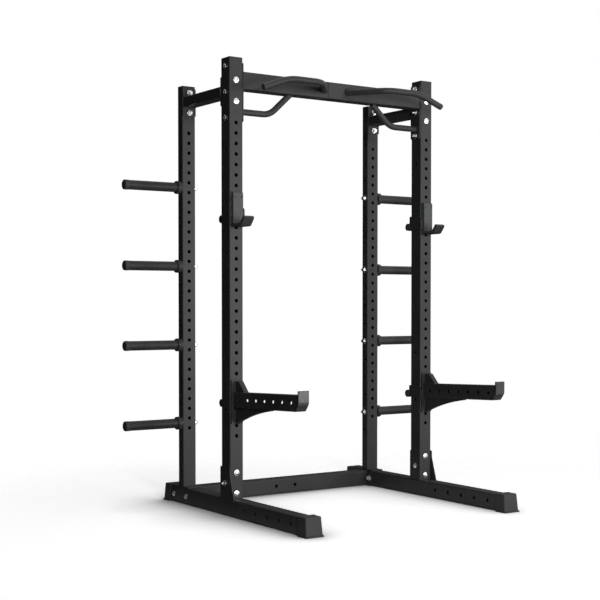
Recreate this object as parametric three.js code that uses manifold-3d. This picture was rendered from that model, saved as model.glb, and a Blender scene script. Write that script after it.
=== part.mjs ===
// Half rack for strength training, in millimetres, +Z up.
// Two side frames of perforated square tube are joined by a pull-up beam at the top and a
// crossmember at the back of the floor. A pair of J-cups and a pair of spotter arms hang on the
// front uprights, and eight storage pegs stand out from the rear uprights.
// X runs from the left side frame to the right one, seen from the front. The front is -Y.
// The origin is on the floor, at the centre of the footprint, level with the front faces of the
// front uprights.

import * as THREE from 'three';
import { mergeVertices } from 'three/addons/utils/BufferGeometryUtils.js';
import Module from 'manifold-3d';

const wasm = await Module();
wasm.setup();

// Gaps
const fit_gap = 0.3;
const overrun = 10;
const merge_distance = 0.001;

// The frame as a whole
const frame_spacing = 1175;
const front_height = 2200;
const rear_drop = 74;
const rail_length = 1290;
const rear_inset = 180;

// Tubes: the large one and the slim one share their width
const tube_width = 75;
const tube_depth = 80;
const slim_depth = 50;
const tube_wall = 3;
const tube_corner = 5;

// Rows of holes
const hole_radius = 9;
const hole_pitch = 50;
const hole_count = 31;
const lowest_hole_height = 388;
const front_side_pitch = 250;
const front_side_count = 6;
const front_side_lowest_height = 513;
const rear_side_pitch = 100;
const rear_side_count = 17;
const rear_side_lowest_height = 313;
const adjustment_row = { lowest: lowest_hole_height, pitch: hole_pitch, count: hole_count };
const front_side_row = {
  lowest: front_side_lowest_height,
  pitch: front_side_pitch,
  count: front_side_count,
};
const rear_side_row = {
  lowest: rear_side_lowest_height,
  pitch: rear_side_pitch,
  count: rear_side_count,
};

// Plates welded to the tubes
const plate = 6;

// Rubber feet
const foot_sole = 3.7;
const foot_wall = 5;
const foot_cover = 52;
const foot_taper = 3.5;
const foot_lean = 10;
const foot_lip = 4;
const foot_toe = 8;
const foot_lip_height = 4;

// Base rails
const rail_hole_count = 5;
const rail_hole_pitch = 100;
const rail_hole_first = 125;
const rail_hole_rise = 1;
const bracket_plate = 4;
const bracket_height = 154;
const bracket_straight = 34;
const bracket_front = 5;
const bracket_toe = 42;
const bracket_lap = 8;

// Bolts at the foot of the front uprights
const bolt_radius = 8;
const bolt_dome_radius = 9;
const bolt_head_radius = 12;
const bolt_head_height = 4;
const nut_radius = 12;
const nut_height = 10;
const washer_radius = 14.5;
const washer_height = 3;
const base_bolt_lower = 110;
const base_bolt_upper = 210;
const base_bolt_side = 159;

// Rear uprights
const foot_plate = 5;
const foot_plate_length = 165;
const foot_plate_front = 47;

// Caps on the tops of the uprights
const cap_height = 4;
const cap_plug = 18;
const cap_clearance = 0.5;

// Rear crossmember
const cross_setback = 35;
const cross_flange_length = 170;
const cross_hole_spacing = 120;

// Side crossmembers
const side_drop = 157;
const side_flange_height = 140;
const vent_radius = 10;

// Pull-up beam
const beam_drop = 107;
const beam_depth = 84;
const beam_flange_drop = 57;
const beam_flange_height = 284;

// Bent bars below the beam
const lower_bar_radius = 15.5;
const lower_bar_drop = 104;
const lower_bar_bend_x = 373;
const lower_bar_top_x = 259;
const lower_bar_bend = 40;

// Grips in front of the beam
const grip_radius = 15.5;
const grip_forward = 172;
const grip_drop = 2;
const grip_root_x = 60;
const grip_inner_x = 206;
const grip_outer_x = 395;
const grip_tip_x = 538;
const grip_tip_drop = 53;
const grip_bend = 50;
const grip_cap_length = 6;

// Blank plate at the middle of the beam
const badge_width = 96;
const badge_height = 72;
const badge_thickness = 2.5;
const badge_corner = 6;

// Storage pegs
const peg_count = 4;
const peg_pitch = 400;
const peg_lowest_height = 413;
const peg_radius = 24;
const peg_wall = 3;
const peg_length = 294;
const peg_collar_radius = 33;
const peg_collar_length = 25;
const peg_stud_radius = 8;
const peg_stud_reach = 18;
const peg_cap_radius = 25;
const peg_cap_length = 23;
const peg_cap_end = 3;

// What the J-cups and the spotter arms share: a peg in a hole and a roller behind the upright
const locating_radius = 7.5;
const locating_depth = 22;
const hanger_plate = 8;
const hanger_width = 64;
const side_plate = 5;
const roller_radius = 19.5;
const roller_neck_radius = 7;
const roller_head_radius = 19;
const roller_head_height = 2.5;
const roller_setback = 9;
const roller_play = 1.5;
const ear_drop = 51;
const ear_hub = 16;
const ear_behind = 7;
const ear_round = 22;
const ear_neck = 12;

// J-cups
const jcup_step_count = 23;
const jcup_above = 20;
const jcup_below = 148;
const jcup_roller_drop = 106;
const jcup_hook_width = 55;
const jcup_hook_plate = 6;
const jcup_shelf = 88;
const jcup_lip_length = 51;
const jcup_lip_angle_deg = 51;
const liner_thickness = 10;
const liner_inset = 4;

// Spotter arms
const arm_step_count = 5;
const arm_above = 20;
const arm_below = 192;
const arm_roller_drop = 97;
const arm_width = 50;
const arm_depth = 75;
const arm_reach = 566;
const arm_drop = 77;
const arm_tilt_deg = 2.1;
const arm_hole_count = 7;
const arm_hole_pitch = 75;
const arm_hole_first = 63;
const arm_hole_radius = 9;
const web_width = 26;
const web_top_drop = 6;
const web_top_flat = 43;
const web_top_foot = 93;
const web_reach = 310;
const web_step = 6;
const web_bend_reach = 150;
const web_bend_rise = 62;
const stop_thickness = 8.7;
const stop_width = 56;
const stop_rise = 18.5;
const stop_bevel_height = 33.5;
const stop_bevel_depth = 27;

// How finely round shapes are cut
const hole_sides = 6;
const round_sides = 10;
const bolt_sides = 8;
const corner_segments = 1;
const grip_steps = 20;
const lower_bar_steps = 12;
const arc_steps = 8;
const round_steps = 4;

// Heights and places that follow from the sizes above
const half_spacing = frame_spacing / 2;
const half_width = tube_width / 2;
const inner_face = half_spacing - half_width;
const outer_face = half_spacing + half_width;
const rail_bottom = foot_sole + fit_gap;
const rail_top = rail_bottom + tube_depth;
const rail_centre = (rail_bottom + rail_top) / 2;
const upright_bottom = rail_top + fit_gap;
const front_centre_y = tube_depth / 2;
const rear_front_face = rail_length / 2 - rear_inset;
const rear_centre_y = rear_front_face + slim_depth / 2;
const rear_height = front_height - rear_drop;
const side_height = front_height - side_drop;
const beam_height = front_height - beam_drop;
const beam_bottom = beam_height - beam_depth / 2;
const beam_flange_centre = beam_height - beam_flange_drop;
const lower_bar_height = beam_bottom - lower_bar_drop;
const grip_height = beam_height - grip_drop;
const grip_tip_height = grip_height - grip_tip_drop;
const jcup_peg_height = lowest_hole_height + jcup_step_count * hole_pitch;
const arm_peg_height = lowest_hole_height + arm_step_count * hole_pitch;
const arm_height = arm_peg_height - arm_drop;
const side_signs = [-1, 1];
const side_names = { '-1': 'left', '1': 'right' };

// Materials
const powder_black = new THREE.MeshStandardMaterial({ color: 0x1d1e20, roughness: 0.55, metalness: 0.35 });
const rubber_black = new THREE.MeshStandardMaterial({ color: 0x17181a, roughness: 0.85, metalness: 0.0 });
const plastic_black = new THREE.MeshStandardMaterial({ color: 0x202123, roughness: 0.6, metalness: 0.0 });
const liner_grey = new THREE.MeshStandardMaterial({ color: 0x34363a, roughness: 0.5, metalness: 0.0 });
const zinc = new THREE.MeshStandardMaterial({ color: 0xd8dadc, roughness: 0.25, metalness: 1.0 });

// Turning three.js geometry into solids for the boolean work, and back

function toSolid(geometry) {
  const bare = geometry.index ? geometry.toNonIndexed() : geometry.clone();
  bare.deleteAttribute('normal');
  bare.deleteAttribute('uv');
  const merged = mergeVertices(bare, merge_distance);
  const corners = merged.index.array;
  const kept = [];
  for (let i = 0; i < corners.length; i += 3) {
    const [a, b, c] = [corners[i], corners[i + 1], corners[i + 2]];
    if (a !== b && b !== c && c !== a) kept.push(a, b, c);
  }
  return new wasm.Manifold(new wasm.Mesh({
    numProp: 3,
    vertProperties: new Float32Array(merged.attributes.position.array),
    triVerts: new Uint32Array(kept),
  }));
}

function toGeometry(solid) {
  const mesh = solid.getMesh();
  const count = mesh.vertProperties.length / mesh.numProp;
  const positions = new Float32Array(count * 3);
  for (let i = 0; i < count; i += 1) {
    for (let k = 0; k < 3; k += 1) {
      positions[i * 3 + k] = mesh.vertProperties[i * mesh.numProp + k];
    }
  }
  const geometry = new THREE.BufferGeometry();
  geometry.setAttribute('position', new THREE.BufferAttribute(positions, 3));
  geometry.setIndex(new THREE.BufferAttribute(new Uint32Array(mesh.triVerts), 1));
  const flat = geometry.toNonIndexed();
  flat.computeVertexNormals();
  return flat;
}

function cutAway(solid, cutters) {
  return cutters.reduce((rest, cutter) => rest.subtract(cutter), solid);
}

function join(solids) {
  return solids.reduce((whole, solid) => whole.add(solid));
}

// Outlines

function roundedRectangle(width, height, radius) {
  const shape = new THREE.Shape();
  const x = width / 2 - radius;
  const y = height / 2 - radius;
  shape.absarc(x, y, radius, 0, Math.PI / 2);
  shape.absarc(-x, y, radius, Math.PI / 2, Math.PI);
  shape.absarc(-x, -y, radius, Math.PI, 3 * Math.PI / 2);
  shape.absarc(x, -y, radius, 3 * Math.PI / 2, 2 * Math.PI);
  return shape;
}

function tubeSection(width, height) {
  const shape = roundedRectangle(width, height, tube_corner);
  const x = width / 2 - tube_wall;
  const y = height / 2 - tube_wall;
  const bore = new THREE.Path();
  bore.moveTo(-x, -y);
  bore.lineTo(-x, y);
  bore.lineTo(x, y);
  bore.lineTo(x, -y);
  bore.closePath();
  shape.holes.push(bore);
  return shape;
}

function polygon(points) {
  return new THREE.Shape(points.map(([a, b]) => new THREE.Vector2(a, b)));
}

// Prisms: an outline drawn across an axis and drawn out along it

function extrude(shape, length, basis, start) {
  const geometry = new THREE.ExtrudeGeometry(shape, {
    depth: length,
    bevelEnabled: false,
    curveSegments: corner_segments,
  });
  geometry.applyMatrix4(basis);
  geometry.translate(start.x, start.y, start.z);
  return toSolid(geometry);
}

const x_axis = new THREE.Vector3(1, 0, 0);
const y_axis = new THREE.Vector3(0, 1, 0);
const z_axis = new THREE.Vector3(0, 0, 1);

// The outline is drawn in (Y, Z)
function alongX(shape, from, to) {
  const low = Math.min(from, to);
  const basis = new THREE.Matrix4().makeBasis(y_axis, z_axis, x_axis);
  return extrude(shape, Math.abs(to - from), basis, new THREE.Vector3(low, 0, 0));
}

// The outline is drawn in (X, Z)
function alongY(shape, from, to) {
  const high = Math.max(from, to);
  const basis = new THREE.Matrix4().makeBasis(x_axis, z_axis, y_axis.clone().negate());
  return extrude(shape, Math.abs(to - from), basis, new THREE.Vector3(0, high, 0));
}

// The outline is drawn in (X, Y)
function alongZ(shape, from, to) {
  const low = Math.min(from, to);
  return extrude(shape, Math.abs(to - from), new THREE.Matrix4(), new THREE.Vector3(0, 0, low));
}

function box(x, y, z) {
  const geometry = new THREE.BoxGeometry(
    Math.abs(x[1] - x[0]),
    Math.abs(y[1] - y[0]),
    Math.abs(z[1] - z[0]),
  );
  geometry.translate((x[0] + x[1]) / 2, (y[0] + y[1]) / 2, (z[0] + z[1]) / 2);
  return toSolid(geometry);
}

// A round bar or cutter along one axis; its flats stand at the stated radius

function rod(axis, centre, radius, length, sides) {
  const corner_radius = radius / Math.cos(Math.PI / sides);
  const geometry = new THREE.CylinderGeometry(corner_radius, corner_radius, length, sides);
  if (axis === 'x') geometry.rotateZ(Math.PI / 2);
  if (axis === 'z') geometry.rotateX(Math.PI / 2);
  geometry.translate(...centre);
  return toSolid(geometry);
}

// A turned piece: rings of [radius, distance] from its first face, set along X or Y

function turned(rings, sides, axis, sign, start) {
  const last = rings[rings.length - 1];
  const profile = [[0, rings[0][1]], ...rings, [0, last[1]]];
  const points = profile.map(([radius, along]) => new THREE.Vector2(radius, along));
  const geometry = new THREE.LatheGeometry(points, sides);
  if (axis === 'x') geometry.rotateZ(-sign * Math.PI / 2);
  if (axis === 'y' && sign < 0) geometry.rotateX(Math.PI);
  geometry.translate(...start);
  return toSolid(geometry);
}

// A round bar that follows a line with rounded bends

function bentBar(corners, bend, radius, steps) {
  const points = corners.map((corner) => new THREE.Vector3(...corner));
  const path = new THREE.CurvePath();
  let from = points[0];
  for (let i = 1; i < points.length - 1; i += 1) {
    const corner = points[i];
    const before = corner.clone().add(points[i - 1].clone().sub(corner).setLength(bend));
    const after = corner.clone().add(points[i + 1].clone().sub(corner).setLength(bend));
    path.add(new THREE.LineCurve3(from, before));
    path.add(new THREE.QuadraticBezierCurve3(before, corner, after));
    from = after;
  }
  path.add(new THREE.LineCurve3(from, points[points.length - 1]));
  const outline = [];
  for (let i = 0; i < round_sides; i += 1) {
    const turn = 2 * Math.PI * i / round_sides;
    outline.push([radius * Math.cos(turn), radius * Math.sin(turn)]);
  }
  const geometry = new THREE.ExtrudeGeometry(polygon(outline), { steps, extrudePath: path });
  return toSolid(geometry);
}

// The finished group

const group = new THREE.Group();

function addPiece(name, solid, material) {
  const mesh = new THREE.Mesh(toGeometry(solid), material.clone());
  mesh.name = name;
  group.add(mesh);
}

// Cutters for a row of holes up an upright
function rowOfHoles(axis, x, y, row, length) {
  const cutters = [];
  for (let i = 0; i < row.count; i += 1) {
    cutters.push(rod(axis, [x, y, row.lowest + i * row.pitch], hole_radius, length, hole_sides));
  }
  return cutters;
}

// Tubes are drawn on the axis and shifted to their place
function moved(solid, x, y) {
  const geometry = toGeometry(solid);
  geometry.translate(x, y, 0);
  return toSolid(geometry);
}

// Front uprights

function frontUpright(sign) {
  const x = sign * half_spacing;
  const shape = tubeSection(tube_width, tube_depth);
  const tube = alongZ(shape, upright_bottom, front_height - cap_height - fit_gap);
  const placed = moved(tube, x, front_centre_y);
  const through = tube_depth + 2 * overrun;
  const across = tube_width + 2 * overrun;
  const bolt_hole = (height) => rod('y', [x, front_centre_y, height], hole_radius, through, hole_sides);
  return cutAway(placed, [
    ...rowOfHoles('y', x, front_centre_y, adjustment_row, through),
    ...rowOfHoles('x', x, front_centre_y, front_side_row, across),
    bolt_hole(base_bolt_lower),
    bolt_hole(base_bolt_upper),
    rod('x', [x, front_centre_y, base_bolt_side], hole_radius, across, hole_sides),
  ]);
}

// Rear uprights stand on a welded foot plate

function rearUpright(sign) {
  const x = sign * half_spacing;
  const plate_top = upright_bottom + foot_plate;
  const shape = tubeSection(tube_width, slim_depth);
  const tube = moved(alongZ(shape, plate_top, rear_height - cap_height - fit_gap), x, rear_centre_y);
  const plate_front = rear_front_face - foot_plate_front;
  const base = box(
    [x - half_width, x + half_width],
    [plate_front, plate_front + foot_plate_length],
    [upright_bottom, plate_top],
  );
  const through = slim_depth + 2 * overrun;
  const across = tube_width + 2 * overrun;
  return cutAway(join([tube, base]), [
    ...rowOfHoles('y', x, rear_centre_y, adjustment_row, through),
    ...rowOfHoles('x', x, rear_centre_y, rear_side_row, across),
  ]);
}

// Plastic caps in the tops of the uprights

function uprightCap(sign, centre_y, depth, top) {
  const x = sign * half_spacing;
  const lid = alongZ(roundedRectangle(tube_width, depth, tube_corner), top - cap_height, top);
  const plug_x = half_width - tube_wall - cap_clearance;
  const plug_y = depth / 2 - tube_wall - cap_clearance;
  const plug = box([-plug_x, plug_x], [-plug_y, plug_y], [top - cap_height - cap_plug, top - cap_height]);
  return moved(join([lid, plug]), x, centre_y);
}

// Base rails, each with the bracket that the front upright is bolted into

function baseRail(sign) {
  const x = sign * half_spacing;
  const rail = alongY(tubeSection(tube_width, tube_depth), -rail_length / 2, rail_length / 2);
  const geometry = toGeometry(rail);
  geometry.translate(x, 0, rail_centre);
  const tube = toSolid(geometry);
  const plate_back = tube_depth + fit_gap + bracket_plate;
  const bracket_top = rail_top + bracket_height;
  const back = box(
    [x - half_width, x + half_width],
    [tube_depth + fit_gap, plate_back],
    [rail_top, bracket_top],
  );
  const side_near = sign * (outer_face + fit_gap);
  const side_far = sign * (outer_face + fit_gap + bracket_plate);
  const side = alongX(polygon([
    [plate_back, rail_top - bracket_lap],
    [plate_back, bracket_top],
    [-bracket_front, bracket_top],
    [-bracket_front, bracket_top - bracket_straight],
    [-bracket_toe, rail_top],
    [-bracket_toe, rail_top - bracket_lap],
  ]), side_near, side_far);
  const corner = box(
    [sign * (outer_face - tube_corner), side_near],
    [tube_depth + fit_gap, plate_back],
    [rail_top, bracket_top],
  );
  const lap = box(
    [sign * (outer_face - tube_wall), side_near],
    [-bracket_toe, plate_back],
    [rail_top - bracket_lap, rail_top - tube_corner],
  );
  const across = tube_width + 2 * overrun;
  const holes = [];
  for (let i = 0; i < rail_hole_count; i += 1) {
    const y = -rail_hole_first - i * rail_hole_pitch;
    holes.push(rod('x', [x, y, rail_centre + rail_hole_rise], hole_radius, across, hole_sides));
  }
  const through = 2 * overrun + bracket_plate;
  return cutAway(join([tube, back, side, corner, lap]), [
    ...holes,
    rod('y', [x, plate_back, base_bolt_lower], hole_radius, through, hole_sides),
    rod('y', [x, plate_back, base_bolt_upper], hole_radius, through, hole_sides),
    rod('x', [side_far, front_centre_y, base_bolt_side], hole_radius, through, hole_sides),
  ]);
}

// Rubber feet wrap the ends of the rails

function foot(sign, end) {
  const x = sign * half_spacing;
  const half_x = half_width + foot_wall;
  const outer_y = rail_length / 2 + foot_wall + foot_lean;
  const inner_y = rail_length / 2 - foot_cover;
  const height = rail_top + foot_wall;
  const geometry = new THREE.BoxGeometry(2 * half_x, outer_y - inner_y, height);
  geometry.translate(0, (outer_y + inner_y) / 2, height / 2);
  const position = geometry.attributes.position;
  for (let i = 0; i < position.count; i += 1) {
    const low = position.getZ(i) < height / 2;
    if (low) position.setX(i, position.getX(i) + Math.sign(position.getX(i)) * foot_taper);
    if (!low && position.getY(i) > inner_y + foot_wall) position.setY(i, outer_y - foot_lean);
  }
  const lip_x = half_x + foot_taper + foot_lip;
  const lip_y = outer_y + foot_toe;
  const body = toSolid(geometry);
  const lip = box([-lip_x, lip_x], [inner_y, lip_y], [0, foot_lip_height]);
  const socket_x = half_width + fit_gap;
  const socket = box(
    [-socket_x, socket_x],
    [inner_y - overrun, rail_length / 2 + fit_gap],
    [foot_sole, rail_top + fit_gap],
  );
  const placed = toGeometry(cutAway(join([body, lip]), [socket]));
  if (end < 0) placed.rotateZ(Math.PI);
  placed.translate(x, 0, 0);
  return toSolid(placed);
}

// Bolts at the foot of each front upright, each with its washers and nut

function boltSet(grip) {
  const near_washer = bolt_head_height + washer_height;
  const far_washer = near_washer + grip;
  const nut = far_washer + washer_height;
  return [
    [bolt_dome_radius, 0],
    [bolt_head_radius, bolt_head_height],
    [washer_radius, bolt_head_height],
    [washer_radius, near_washer],
    [bolt_radius, near_washer],
    [bolt_radius, far_washer],
    [washer_radius, far_washer],
    [washer_radius, nut],
    [nut_radius, nut],
    [nut_radius, nut + nut_height],
  ];
}

function baseBolts(sign) {
  const name = side_names[sign];
  const x = sign * half_spacing;
  const head = bolt_head_height + washer_height + fit_gap;
  const deep = tube_depth + bracket_plate + 3 * fit_gap;
  const wide = tube_width + bracket_plate + 3 * fit_gap;
  const front = (height) => turned(boltSet(deep), bolt_sides, 'y', 1, [x, -head, height]);
  addPiece(`base_bolt_${name}_front_lower`, front(base_bolt_lower), zinc);
  addPiece(`base_bolt_${name}_front_upper`, front(base_bolt_upper), zinc);
  const side_start = sign * (inner_face - head);
  const side = turned(boltSet(wide), bolt_sides, 'x', sign, [side_start, front_centre_y, base_bolt_side]);
  addPiece(`base_bolt_${name}_side`, side, zinc);
}

// Crossmember at the back of the floor, with a flange at each end

function rearCrossmember() {
  const centre_y = rear_front_face + cross_setback;
  const flange_far = inner_face - fit_gap;
  const flange_near = flange_far - plate;
  const geometry = toGeometry(alongX(tubeSection(tube_width, tube_depth), -flange_near, flange_near));
  geometry.translate(0, centre_y, rail_centre);
  const flanges = side_signs.map((sign) => box(
    [sign * flange_near, sign * flange_far],
    [centre_y - cross_flange_length / 2, centre_y + cross_flange_length / 2],
    [rail_bottom, rail_top],
  ));
  const holes = side_signs.map((sign) => rod(
    'y',
    [sign * cross_hole_spacing / 2, centre_y, rail_centre + rail_hole_rise],
    hole_radius,
    tube_width + 2 * overrun,
    hole_sides,
  ));
  return cutAway(join([toSolid(geometry), ...flanges]), holes);
}

// Crossmembers at the top of each side frame

function sideCrossmember(sign) {
  const x = sign * half_spacing;
  const front = tube_depth + fit_gap;
  const back = rear_front_face - fit_gap;
  const geometry = toGeometry(alongY(tubeSection(tube_width, slim_depth), front + plate, back - plate));
  geometry.translate(x, 0, side_height);
  const flange = (from, to) => box(
    [x - half_width, x + half_width],
    [from, to],
    [side_height - side_flange_height / 2, side_height + side_flange_height / 2],
  );
  const vent = rod('y', [x, front, side_height], vent_radius, 2 * plate + 2 * overrun, hole_sides);
  const whole = join([toSolid(geometry), flange(front, front + plate), flange(back - plate, back)]);
  return cutAway(whole, [vent]);
}

// Pull-up beam, with a tall flange at each end

function pullUpBeam() {
  const flange_far = inner_face - fit_gap;
  const flange_near = flange_far - plate;
  const geometry = toGeometry(alongX(tubeSection(tube_width, beam_depth), -flange_near, flange_near));
  geometry.translate(0, front_centre_y, beam_height);
  const flanges = side_signs.map((sign) => box(
    [sign * flange_near, sign * flange_far],
    [front_centre_y - half_width, front_centre_y + half_width],
    [beam_flange_centre - beam_flange_height / 2, beam_flange_centre + beam_flange_height / 2],
  ));
  const vent_centre = [flange_far, front_centre_y, beam_height];
  const vent = rod('x', vent_centre, vent_radius, 2 * plate + 2 * overrun, hole_sides);
  return cutAway(join([toSolid(geometry), ...flanges]), [vent]);
}

// Bent bars from the beam's flanges up to its underside

function lowerGrip(sign) {
  const flange_near = inner_face - fit_gap - plate;
  const slope_x = lower_bar_top_x - lower_bar_bend_x;
  const slope_z = beam_bottom - lower_bar_height;
  const past_share = 0.15;
  const bar = bentBar([
    [sign * (flange_near - fit_gap), front_centre_y, lower_bar_height],
    [sign * lower_bar_bend_x, front_centre_y, lower_bar_height],
    [
      sign * (lower_bar_top_x + slope_x * past_share),
      front_centre_y,
      beam_bottom + slope_z * past_share,
    ],
  ], lower_bar_bend, lower_bar_radius, lower_bar_steps);
  const beam_space = box(
    [-inner_face, inner_face],
    [front_centre_y - half_width, front_centre_y + half_width],
    [beam_bottom - fit_gap, beam_bottom + tube_depth],
  );
  return cutAway(bar, [beam_space]);
}

// Grips that stand out in front of the beam

function upperGrip(sign) {
  const beam_front = front_centre_y - half_width;
  const bar = bentBar([
    [sign * grip_tip_x, -grip_forward, grip_tip_height],
    [sign * grip_outer_x, -grip_forward, grip_height],
    [sign * grip_inner_x, -grip_forward, grip_height],
    [sign * grip_root_x, beam_front + overrun, grip_height],
  ], grip_bend, grip_radius, grip_steps);
  const beam_space = box(
    [-inner_face, inner_face],
    [beam_front - fit_gap, beam_front + tube_depth],
    [beam_bottom - tube_depth, beam_bottom + 2 * tube_depth],
  );
  return cutAway(bar, [beam_space]);
}

function upperGripCap(sign) {
  const dx = grip_tip_x - grip_outer_x;
  const dz = grip_tip_height - grip_height;
  const slope = Math.hypot(dx, dz);
  const along_x = sign * dx / slope;
  const along_z = dz / slope;
  const geometry = new THREE.CylinderGeometry(grip_radius, grip_radius, grip_cap_length, round_sides);
  geometry.rotateX(Math.PI / 2);
  geometry.rotateY(Math.atan2(along_x, along_z));
  const reach = fit_gap + grip_cap_length / 2;
  geometry.translate(
    sign * grip_tip_x + along_x * reach,
    -grip_forward,
    grip_tip_height + along_z * reach,
  );
  return toSolid(geometry);
}

// Blank plate on the front of the beam

function badgePlate() {
  const face = front_centre_y - half_width - fit_gap;
  const shape = roundedRectangle(badge_width, badge_height, badge_corner);
  const geometry = toGeometry(alongY(shape, face - badge_thickness, face));
  geometry.translate(0, 0, beam_height);
  return toSolid(geometry);
}

// Storage pegs: a sleeve with a collar, and a stud through the rear upright

function storagePeg(sign, height) {
  const bore = peg_radius - peg_wall;
  const through = tube_width + 2 * fit_gap + peg_stud_reach;
  const start = sign * (outer_face + fit_gap - through);
  const points = [
    [peg_stud_radius, 0],
    [peg_stud_radius, through],
    [peg_collar_radius, through],
    [peg_collar_radius, through + peg_collar_length],
    [peg_radius, through + peg_collar_length],
    [peg_radius, through + peg_length],
    [bore, through + peg_length],
    [bore, through + peg_collar_length],
  ];
  return turned(points, round_sides, 'x', sign, [start, rear_centre_y, height]);
}

function storagePegCap(sign, height) {
  const start = sign * (outer_face + 2 * fit_gap + peg_length);
  const plug_radius = peg_radius - peg_wall - cap_clearance;
  const plug_length = peg_cap_length - peg_cap_end;
  const points = [
    [plug_radius, 0],
    [plug_radius, plug_length],
    [peg_cap_radius, plug_length],
    [peg_cap_radius, plug_length + peg_cap_length],
  ];
  return turned(points, round_sides, 'x', sign, [start - sign * plug_length, rear_centre_y, height]);
}

// The side plate that carries the roller behind the upright, with the peg and the ear that joins
// it to the front plate. Heights are measured from the locating peg.

function arc(centre_y, centre_z, radius, from, to) {
  const points = [];
  for (let i = 0; i <= round_steps; i += 1) {
    const turn = from + (to - from) * i / round_steps;
    points.push([centre_y + radius * Math.cos(turn), centre_z + radius * Math.sin(turn)]);
  }
  return points;
}

function hangerFittings(sign, peg_height, roller_drop) {
  const x = sign * half_spacing;
  const ear_near = sign * (inner_face - fit_gap);
  const ear_far = sign * (inner_face - fit_gap - side_plate);
  const front = -fit_gap - hanger_plate;
  const roller_y = tube_depth + roller_play + roller_radius;
  const roller_z = peg_height - roller_drop;
  const ear_top = peg_height - ear_drop;
  const ear_bottom = roller_z - ear_hub;
  const ear_back = tube_depth + ear_behind;
  const side = alongX(polygon([
    [front, ear_bottom],
    ...arc(roller_y, roller_z, ear_hub, -Math.PI / 2, Math.PI / 2),
    [ear_back, roller_z + ear_hub + ear_neck],
    ...arc(tube_depth, ear_top - ear_behind, ear_behind, 0, Math.PI / 2),
    ...arc(front + ear_round, ear_top - ear_round, ear_round, Math.PI / 2, Math.PI),
  ]), ear_near, ear_far);
  const bore_length = 2 * (side_plate + overrun);
  const bore_radius = roller_neck_radius + fit_gap;
  const bore = rod('x', [ear_near, roller_y, roller_z], bore_radius, bore_length, round_sides);
  const ear = box(
    [sign * (half_spacing - hanger_width / 2), ear_near],
    [front, -fit_gap],
    [ear_bottom, ear_top - ear_round],
  );
  const peg_length_y = locating_depth + hanger_plate / 2;
  const peg_centre = locating_depth - peg_length_y / 2;
  const peg = rod('y', [x, peg_centre, peg_height], locating_radius, peg_length_y, bolt_sides);
  return [cutAway(side, [bore]), ear, peg];
}

function roller(sign, peg_height, roller_drop) {
  const roller_y = tube_depth + roller_play + roller_radius;
  const start = sign * (inner_face - 2 * fit_gap - side_plate - roller_head_height);
  const shoulder = roller_head_height + side_plate + 2 * fit_gap;
  const reach = shoulder + tube_width - roller_setback;
  const points = [
    [roller_head_radius, 0],
    [roller_head_radius, roller_head_height],
    [roller_neck_radius, roller_head_height],
    [roller_neck_radius, shoulder],
    [roller_radius, shoulder],
    [roller_radius, reach],
  ];
  return turned(points, round_sides, 'x', sign, [start, roller_y, peg_height - roller_drop]);
}

// J-cups: a bent hook plate with a plastic liner

function jcupOutline(thickness, lift) {
  const angle = THREE.MathUtils.degToRad(jcup_lip_angle_deg);
  const out = [-Math.cos(angle), Math.sin(angle)];
  const up = [Math.sin(angle), Math.cos(angle)];
  const bend = lift * Math.tan(angle / 2);
  const inner_bend = (lift + thickness) * Math.tan(angle / 2);
  const knee = [-fit_gap - jcup_shelf + bend, lift];
  const inner_knee = [-fit_gap - jcup_shelf + inner_bend, lift + thickness];
  const tip = [
    -fit_gap - jcup_shelf + out[0] * jcup_lip_length + up[0] * lift,
    out[1] * jcup_lip_length + up[1] * lift,
  ];
  const inner_tip = [tip[0] + up[0] * thickness, tip[1] + up[1] * thickness];
  return { knee, inner_knee, tip, inner_tip };
}

function jcup(sign) {
  const x = sign * half_spacing;
  const bottom = jcup_peg_height - jcup_below;
  const top = jcup_peg_height + jcup_above;
  const half_hook = jcup_hook_width / 2;
  const back = -fit_gap;
  const front = back - hanger_plate;
  const { knee, inner_knee, tip, inner_tip } = jcupOutline(jcup_hook_plate, 0);
  const hook = alongX(polygon([
    [back, bottom],
    [back, bottom + jcup_hook_plate],
    [inner_knee[0], bottom + inner_knee[1]],
    [inner_tip[0], bottom + inner_tip[1]],
    [tip[0], bottom + tip[1]],
    [knee[0], bottom + knee[1]],
  ]), x - half_hook, x + half_hook);
  const upright_plate = box(
    [x - hanger_width / 2, x + hanger_width / 2],
    [front, back],
    [bottom, top],
  );
  return join([upright_plate, hook, ...hangerFittings(sign, jcup_peg_height, jcup_roller_drop)]);
}

function jcupLiner(sign) {
  const x = sign * half_spacing;
  const bottom = jcup_peg_height - jcup_below;
  const top = jcup_peg_height + jcup_above - liner_inset;
  const half_hook = jcup_hook_width / 2;
  const back = -fit_gap - hanger_plate - fit_gap;
  const front = back - liner_thickness;
  const lift = jcup_hook_plate + fit_gap;
  const { knee, inner_knee, tip, inner_tip } = jcupOutline(liner_thickness, lift);
  return alongX(polygon([
    [back, top],
    [front, top],
    [front, bottom + inner_knee[1]],
    [inner_knee[0], bottom + inner_knee[1]],
    [inner_tip[0], bottom + inner_tip[1]],
    [tip[0], bottom + tip[1]],
    [knee[0], bottom + knee[1]],
    [back, bottom + knee[1]],
  ]), x - half_hook, x + half_hook);
}

// Spotter arms: a tube on a back plate, with a web above and below it

const arm_slope = Math.tan(THREE.MathUtils.degToRad(arm_tilt_deg));

function armLine(reach) {
  return arm_height + reach * arm_slope;
}

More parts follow.
